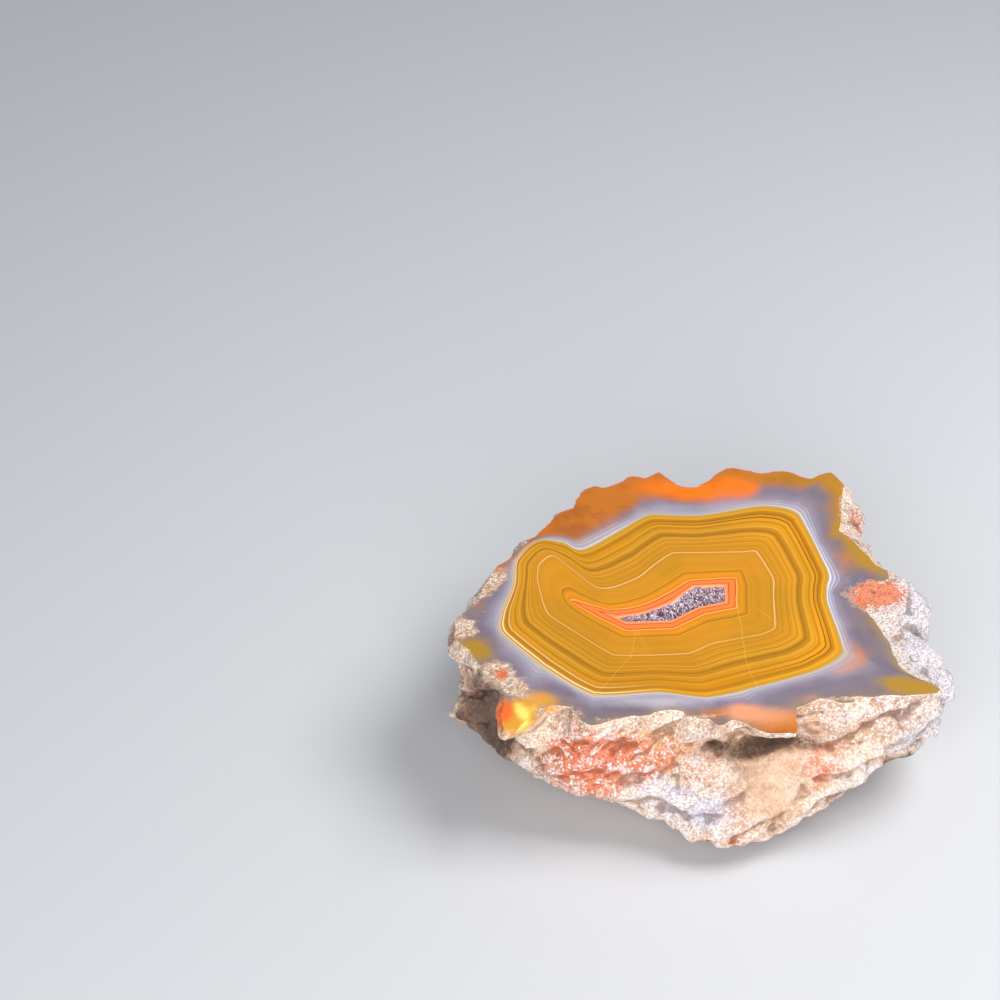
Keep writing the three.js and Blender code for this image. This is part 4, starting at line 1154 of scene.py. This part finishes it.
# %% Polished agate
ZONES = [  # growth, screen colour
    (0.00, (255, 186, 128)), (0.06, (255, 158, 98)), (0.33, (250, 132, 68)),
    (0.45, (252, 120, 50)), (0.75, (252, 128, 56)), (0.98, (250, 114, 40)),
    (1.01, (232, 136, 26)), (1.16, (228, 138, 12)), (1.34, (214, 140, 18)),
    (1.6, (212, 140, 22)), (2.0, (210, 140, 24)), (2.3, (208, 138, 16)),
    (2.7, (212, 140, 6)), (2.93, (214, 142, 6)), (2.98, (196, 146, 36)),
    (3.01, (188, 166, 120)), (3.06, (174, 164, 170)), (3.2, (152, 142, 158)),
    (3.42, (130, 119, 132)), (3.8, (130, 116, 120)), (4.0, (150, 130, 112)),
]
LINES = {  # layer that limits them: growth, half width, strength, screen colour
    "": [(0.37, 0.06, 0.9, (200, 62, 20)), (0.56, 0.04, 0.4, (255, 164, 100)),
         (0.80, 0.05, 0.4, (255, 160, 96)), (1.00, 0.022, 0.85, (166, 56, 16)),
         (1.045, 0.02, 0.8, (255, 186, 112)), (1.10, 0.012, 0.5, (206, 116, 14)),
         (1.18, 0.014, 0.4, (240, 170, 40)), (1.30, 0.014, 0.65, (150, 92, 14)),
         (1.36, 0.012, 0.4, (226, 174, 76)), (1.52, 0.010, 0.3, (176, 124, 30)),
         (1.74, 0.008, 0.3, (224, 174, 70)), (1.86, 0.009, 0.35, (170, 116, 26)),
         (2.12, 0.015, 0.45, (168, 132, 26)), (2.22, 0.014, 0.5, (160, 112, 18)),
         (2.30, 0.012, 0.45, (226, 180, 70)), (2.37, 0.014, 0.4, (226, 174, 56)),
         (2.46, 0.016, 0.65, (148, 104, 16)), (2.56, 0.012, 0.45, (232, 186, 66)),
         (2.66, 0.016, 0.55, (146, 98, 16))],
    "pale": [(2.00, 0.013, 1.0, (246, 206, 164)), (2.03, 0.012, 0.6, (172, 98, 44))],
    "dark_lines": [(2.76, 0.018, 0.75, (124, 66, 12)), (2.83, 0.014, 0.7, (132, 74, 14))],
    "white_lines": [(2.80, 0.014, 0.6, (244, 228, 186)), (2.93, 0.018, 0.75, (252, 242, 220)),
                    (2.99, 0.012, 0.5, (250, 244, 230))],
    "halo": [(3.035, 0.026, 0.85, (232, 232, 244)), (3.11, 0.024, 0.7, (208, 208, 230)),
             (3.18, 0.016, 0.6, (200, 198, 222))],
}
GOLD_TINTS = [("bright", (236, 156, 0)), ("deep", (190, 122, 0))]
FINE_BANDS = [  # lines to a unit of growth, seed, low and high level, dark, light, strength
    (6.0, 3.1, 0.46, 0.56, (160, 106, 8), (228, 164, 30), 0.6),
    (15.0, 8.7, 0.46, 0.58, (152, 100, 10), (232, 176, 60), 0.44),
    (46.0, 5.3, 0.42, 0.62, (160, 104, 14), (232, 180, 76), 0.26),
]
MARGIN_TINTS = [  # layer, its second layer, screen colour, where it sets in and is full, share
    ("milk", "", (214, 208, 216), 0.1, 1.1, 0.8), ("violet", "", (118, 106, 142), 0.1, 1.1, 0.45),
    ("amber", "rim_glow", (200, 112, 18), 0.0, 0.8, 0.95),
    ("olive", "olive_rim", (178, 134, 30), 0.1, 0.95, 0.92),
    ("fire", "", (255, 122, 0), 0.05, 1.0, 0.9), ("peach", "", (236, 162, 120), 0.1, 1.15, 0.85),
]
BURNT_AMBER = (150, 82, 26)
# lemon is a painted highlight along the tongue
TONGUE_TINTS = [("honey", (228, 160, 44)), ("lemon_highlight", (255, 232, 112)), ("red", (238, 104, 44))]
CRACKS = [  # from x, y to x, y in mm, width in mm
    ((-10.9, -7.5), (-12.1, -14.2), 0.13), ((-12.1, -14.2), (-15.9, -20.0), 0.13),
    ((-15.9, -20.0), (-18.9, -24.0), 0.12), ((6.3, -1.0), (6.9, -15.5), 0.16),
    ((6.9, -15.5), (8.3, -21.3), 0.14), ((9.2, -1.8), (13.2, -6.6), 0.12),
    ((-10.7, -8.2), (-9.7, -11.4), 0.1),
]
CRACK_TINT = (240, 204, 120)


def gold_colour(tree, growth):
    """The ramp over growth, then soft tints, fine bands and single lines."""
    colour = ramp(tree, calc(tree, "DIVIDE", growth, 4.0), [(v / 4, c) for v, c in ZONES])
    middle = times(tree, step(tree, growth, 1.02, 1.2), step(tree, growth, 3.0, 2.9))
    plain = scaled(tree, layer(tree, "deep"), -0.75, 1.0, clamp=True)
    shade = times(tree, step(tree, noise(tree, 11.0, 3.0), 0.44, 0.62), middle, 0.4)
    colour = mixed(tree, shade, colour, (182, 130, 18))
    for name, tone in GOLD_TINTS:
        colour = mixed(tree, times(tree, layer(tree, name), middle, 0.7), colour, tone)
    inner = scaled(tree, step(tree, growth, 1.9, 2.5), 0.55, 0.45)
    for scale, seed, low, high, dark, light, share in FINE_BANDS:
        bands = place(tree, "ShaderNodeTexNoise",
                      {"W": calc(tree, "ADD", growth, seed), "Scale": scale, "Detail": 3.0,
                       "Roughness": 0.7}, noise_dimensions="1D").outputs[0]
        strength = times(tree, inner, share, middle, plain)
        for edge, side, tone in ((high, 0.12, light), (low, -0.12, dark)):
            mask = times(tree, strength, step(tree, bands, edge, edge + side))
            colour = mixed(tree, mask, colour, tone)
    for limit, rows in LINES.items():
        for position, width, share, tone in rows:
            mask = use_group(tree, growth_line, {"Growth": growth, "Position": position,
                                                 "Half width": width})[0]
            mask = times(tree, mask, share, *([layer(tree, limit)] if limit else []))
            colour = mixed(tree, mask, colour, tone)
    return colour


def margin_colour(tree, growth, edge, colour):
    """Smoke and dusk in the outer layer, then the tints of the margin and the tongue, and
    a red line at the rim."""
    rim = step(tree, growth, 2.98, 3.35)
    smoke = times(tree, step(tree, noise(tree, 8.0, 4.0, 0.6), 0.45, 0.68), 0.5, rim)
    colour = mixed(tree, smoke, colour, (108, 99, 114))
    dusk = times(tree, step(tree, calc(tree, "ADD", growth, edge), 3.5, 4.1), 0.45)
    colour = mixed(tree, dusk, colour, (146, 122, 104))
    for name, second, tone, low, high, share in MARGIN_TINTS:
        amount = layer(tree, name)
        if second:
            amount = calc(tree, "MAXIMUM", amount, layer(tree, second))
        mask = times(tree, step(tree, calc(tree, "ADD", amount, edge), low, high), rim, share)
        colour = mixed(tree, mask, colour, tone)
        if name == "amber":
            burnt = times(tree, mask, step(tree, noise(tree, 5.0, 4.0), 0.46, 0.66), 0.55)
            colour = mixed(tree, burnt, colour, BURNT_AMBER)
    for name, tone in TONGUE_TINTS:
        mask = step(tree, scaled(tree, edge, 0.5, layer(tree, name)), 0.2, 1.0)
        colour = mixed(tree, times(tree, mask, 0.92), colour, tone)
    line = times(tree, step(tree, growth, 3.93, 3.995), layer(tree, "rim_glow"), 0.6)
    return mixed(tree, line, colour, (206, 106, 78))


def make_polished():
    """Gold, margin, cracks and flecks, and over them the torn patches of crust, which are
    rough and raised while the rest is polished."""
    material, tree, shader = new_material("polished_agate")
    growth = swing(tree, noise(tree, 5.0, 3.0), 0.035, layer(tree, "growth"))
    edge = swing(tree, noise(tree, 7.0, 4.0, 0.55), 1.1)
    colour = margin_colour(tree, growth, edge, gold_colour(tree, growth))
    for start, end, width in CRACKS:
        ends = [[*((np.array(point) + SHIFT[:2]) * MM), 0] for point in (start, end)]
        mask = use_group(tree, hairline, {"A": ends[0], "B": ends[1], "Width": width * MM})[0]
        colour = mixed(tree, times(tree, mask, 0.22), colour, CRACK_TINT)
    # painted glints: small white specks over the polish, each also a small dip in the bump
    glint_speck = use_group(tree, flecks, {"Size": 0.0052, "Amount": 0.14, "Radius": 0.035})[0]
    colour = mixed(tree, times(tree, glint_speck, 0.8), colour, (250, 240, 214))

    ragged = swing(tree, noise(tree, 1.4, 5.0, 0.7), 1.5, layer(tree, "crust"))
    torn = step(tree, ragged, 0.5, 0.64)
    hem = times(tree, step(tree, ragged, 0.3, 0.52), 0.6)
    colour = mixed(tree, hem, colour, (214, 168, 150))
    rust = step(tree, calc(tree, "ADD", layer(tree, "rust"), edge), 0.2, 0.6)
    crust = use_group(tree, granular_crust, {
        "Stain": mixed(tree, rust, (224, 186, 156), (244, 132, 92)),
        "Grain colour": rgb(248, 236, 222), "Grains": scaled(tree, rust, -1.1, 0.5),
        "Smooth": times(tree, rust, 0.4), "Pits": scaled(tree, noise(tree, 0.8, 4.0), 4.0, -2.1)})
    smear = scaled(tree, noise(tree, 2.2, 4.0, 0.6), 0.06, 0.1)
    height = times(tree, torn, scaled(tree, crust["Height"], 1.0, -0.6))
    finish_stone(tree, shader, mixed(tree, torn, colour, crust["Color"]),
                 blend(tree, torn, smear, crust["Roughness"]), scaled(tree, glint_speck, -0.25, height),
                 **{"Specular IOR Level": 0.4, "Coat Weight": 0.1, "Coat Roughness": 0.04})
    return material


polished_agate = make_polished()
print(polished_agate.name, len(polished_agate.node_tree.nodes), "nodes")

# %% [markdown]
# The rind is one mixture of stained, granular quartz. The patches choose its stain: cream
# by default, orange-red, tan, brown or white, where the brown also paints shade under the
# cave's lip and in creases. Next to the tongue at the left, the colours of the cut run over
# the edge and down the brow.

# %% Rough rind
# the third is the lighter cream below the edge, partly painted highlight
RIND_CREAM, RIND_SHADE, LIT_BRIM_CREAM = (246, 220, 196), (216, 180, 156), (246, 224, 186)
RIND_STAINS = [  # layer, screen colour, where it sets in and where it is full
    ("rind_white", (208, 204, 218), 0.2, 0.9), ("rind_tan", (208, 168, 138), 0.15, 0.8),
    ("rind_peach", (242, 184, 138), 0.3, 1.1), ("rind_red", (238, 132, 94), 0.2, 1.1),
    # brown stain: the hollow at the left, and painted shade under the cave's lip and in creases
    ("rind_brown_and_shade", (70, 47, 40), 0.3, 1.1),
]
# lemon carries the painted highlight down the brow
BROW_TINTS = [("honey", (226, 156, 44)), ("lemon_highlight", (255, 228, 100)), ("red", (238, 104, 42))]


def make_rind():
    """The patches choose the stain and how many bare grains show in it; the crust group
    does the rest. Where the tongue reaches down, the glossy colours take over."""
    material, tree, shader = new_material("rough_rind")
    patchy = swing(tree, noise(tree, 3.2, 6.0, 0.7), 2.2)
    lit_brim, brown_and_shade = layer(tree, "lit_brim"), layer(tree, "rind_brown_and_shade")
    stain = mixed(tree, step(tree, noise(tree, 9.0, 3.0), 0.42, 0.62), RIND_CREAM, RIND_SHADE)
    # lighter cream just below the edge, with more bare grains: partly the crust's colour, partly
    # painted highlight on the edge
    stain = mixed(tree, times(tree, lit_brim, 0.7), stain, LIT_BRIM_CREAM)
    for name, tone, low, high in RIND_STAINS:
        mask = step(tree, calc(tree, "ADD", layer(tree, name), patchy), low, high)
        stain = mixed(tree, times(tree, mask, 0.92), stain, tone)
    rust = step(tree, layer(tree, "rind_red"), 1.5, 2.0)
    smooth = times(tree, layer(tree, "rind_tan"), 0.75)
    for other in (times(tree, brown_and_shade, 0.55), times(tree, rust, 0.4)):
        smooth = calc(tree, "MAXIMUM", smooth, other)
    grains = scaled(tree, layer(tree, "rind_white"), 0.25, 0.42)
    grains = scaled(tree, lit_brim, 0.25, scaled(tree, rust, -1.0, grains))
    # grains turn brown-grey in the brown and in its painted shade
    grain = mixed(tree, step(tree, brown_and_shade, 0.2, 0.8), (248, 241, 242), (150, 120, 104))
    crust = use_group(tree, granular_crust,
                      {"Stain": stain, "Grain colour": grain, "Grains": grains,
                       "Pits": layer(tree, "pits"), "Smooth": smooth})
    colour, wet = crust["Color"], 0.0
    for name, tone in BROW_TINTS:
        mask = step(tree, scaled(tree, patchy, 0.4, layer(tree, name)), 0.2, 0.7)
        colour = mixed(tree, times(tree, mask, 0.85), colour, tone)
        wet = calc(tree, "MAXIMUM", mask, wet)
    flat = calc(tree, "MAXIMUM", wet, smooth)
    finish_stone(tree, shader, colour, blend(tree, wet, crust["Roughness"], 0.25),
                 times(tree, crust["Height"], scaled(tree, flat, -0.6, 1.0)))
    return material


rough_rind = make_rind()
stone.data.materials.append(polished_agate)
stone.data.materials.append(rough_rind)
print(rough_rind.name, len(rough_rind.node_tree.nodes), "nodes")

# %% [markdown]
# Quartz crystals are clear to smoky mauve. Each crystal carries one random number, which
# picks its tint, and their faces are left flat so that each one glints on its own.

# %% Druse
DRUSE_TINTS = [(0.0, (116, 56, 80)), (0.26, (172, 118, 144)), (0.48, (238, 206, 224)),
               (0.75, (255, 250, 252))]  # a crystal's number, screen colour


def make_druse():
    """Tint by the crystal's own number, with soft clouds inside; low roughness, and
    nearly half of the light passes through."""
    material, tree, shader = new_material("quartz_druse")
    cloud = noise(tree, 0.5, 3.0)
    tint = swing(tree, cloud, 0.5, layer(tree, "tint"))
    fill(tree, shader, {"Base Color": ramp(tree, tint, DRUSE_TINTS),
                        "Roughness": scaled(tree, cloud, 0.12, 0.04),
                        "IOR": QUARTZ_IOR, "Transmission Weight": 0.45})
    return material


druse.data.materials.append(make_druse())
print("druse:", len(druse.data.polygons), "faces")

# %% [markdown]
# The floor is plain and pale. A soft key light stands at the upper right, a little behind
# the stone, so the shadow falls to the lower left and front. A large soft light fills the
# wall from the front. It is kept out of mirror reflections, which would show it as a white
# sheet on the polish when seen from behind. An even grey sky does the rest.

# %% Floor and lights
AIM = Vector((0, 0, 0.015))
LAMPS = [  # name, place and size in metres, watts, whether the polish mirrors it
    ("key_light", (0.22, 0.0, 0.38), 0.24, 1.45, True),
    ("front_fill", (-0.06, -0.56, 0.22), 0.50, 4.0, False),
]
FLOOR_HALF = 3.0
FLOOR_TINTS = (208, 209, 212), (212, 213, 216)
SKY_COLOUR = (0.82, 0.86, 0.92, 1)
SKY_STRENGTH = 0.33


def add_light(name, at, size, watts, mirrored):
    """A square area light whose axis is its place less the aim point."""
    data = bpy.data.lights.new(name, "AREA")
    data.size, data.energy = size, watts
    lamp = bpy.data.objects.new(name, data)
    lamp.location = at
    lamp.visible_glossy = mirrored
    lamp.rotation_euler = (Vector(at) - AIM).to_track_quat("Z", "Y").to_euler()
    bpy.context.scene.collection.objects.link(lamp)


for row in LAMPS:
    add_light(*row)

floor_mesh = bpy.data.meshes.new("floor")
floor_mesh.from_pydata([(x * FLOOR_HALF, y * FLOOR_HALF, 0)
                        for x, y in ((-1, -1), (1, -1), (1, 1), (-1, 1))], [], [(0, 1, 2, 3)])
floor = bpy.data.objects.new("floor", floor_mesh)
bpy.context.scene.collection.objects.link(floor)
floor_material, floor_tree, floor_shader = new_material("pale_paper")
fill(floor_tree, floor_shader, {
    "Base Color": mixed(floor_tree, noise(floor_tree, 0.4), *FLOOR_TINTS), "Roughness": 0.85})
floor_mesh.materials.append(floor_material)

world = bpy.data.worlds.new("soft_sky")
world.use_nodes = True
fill(world.node_tree, world.node_tree.nodes["Background"],
     {"Color": SKY_COLOUR, "Strength": SKY_STRENGTH})
bpy.context.scene.world = world
bpy.context.scene.view_settings.view_transform = "Standard"
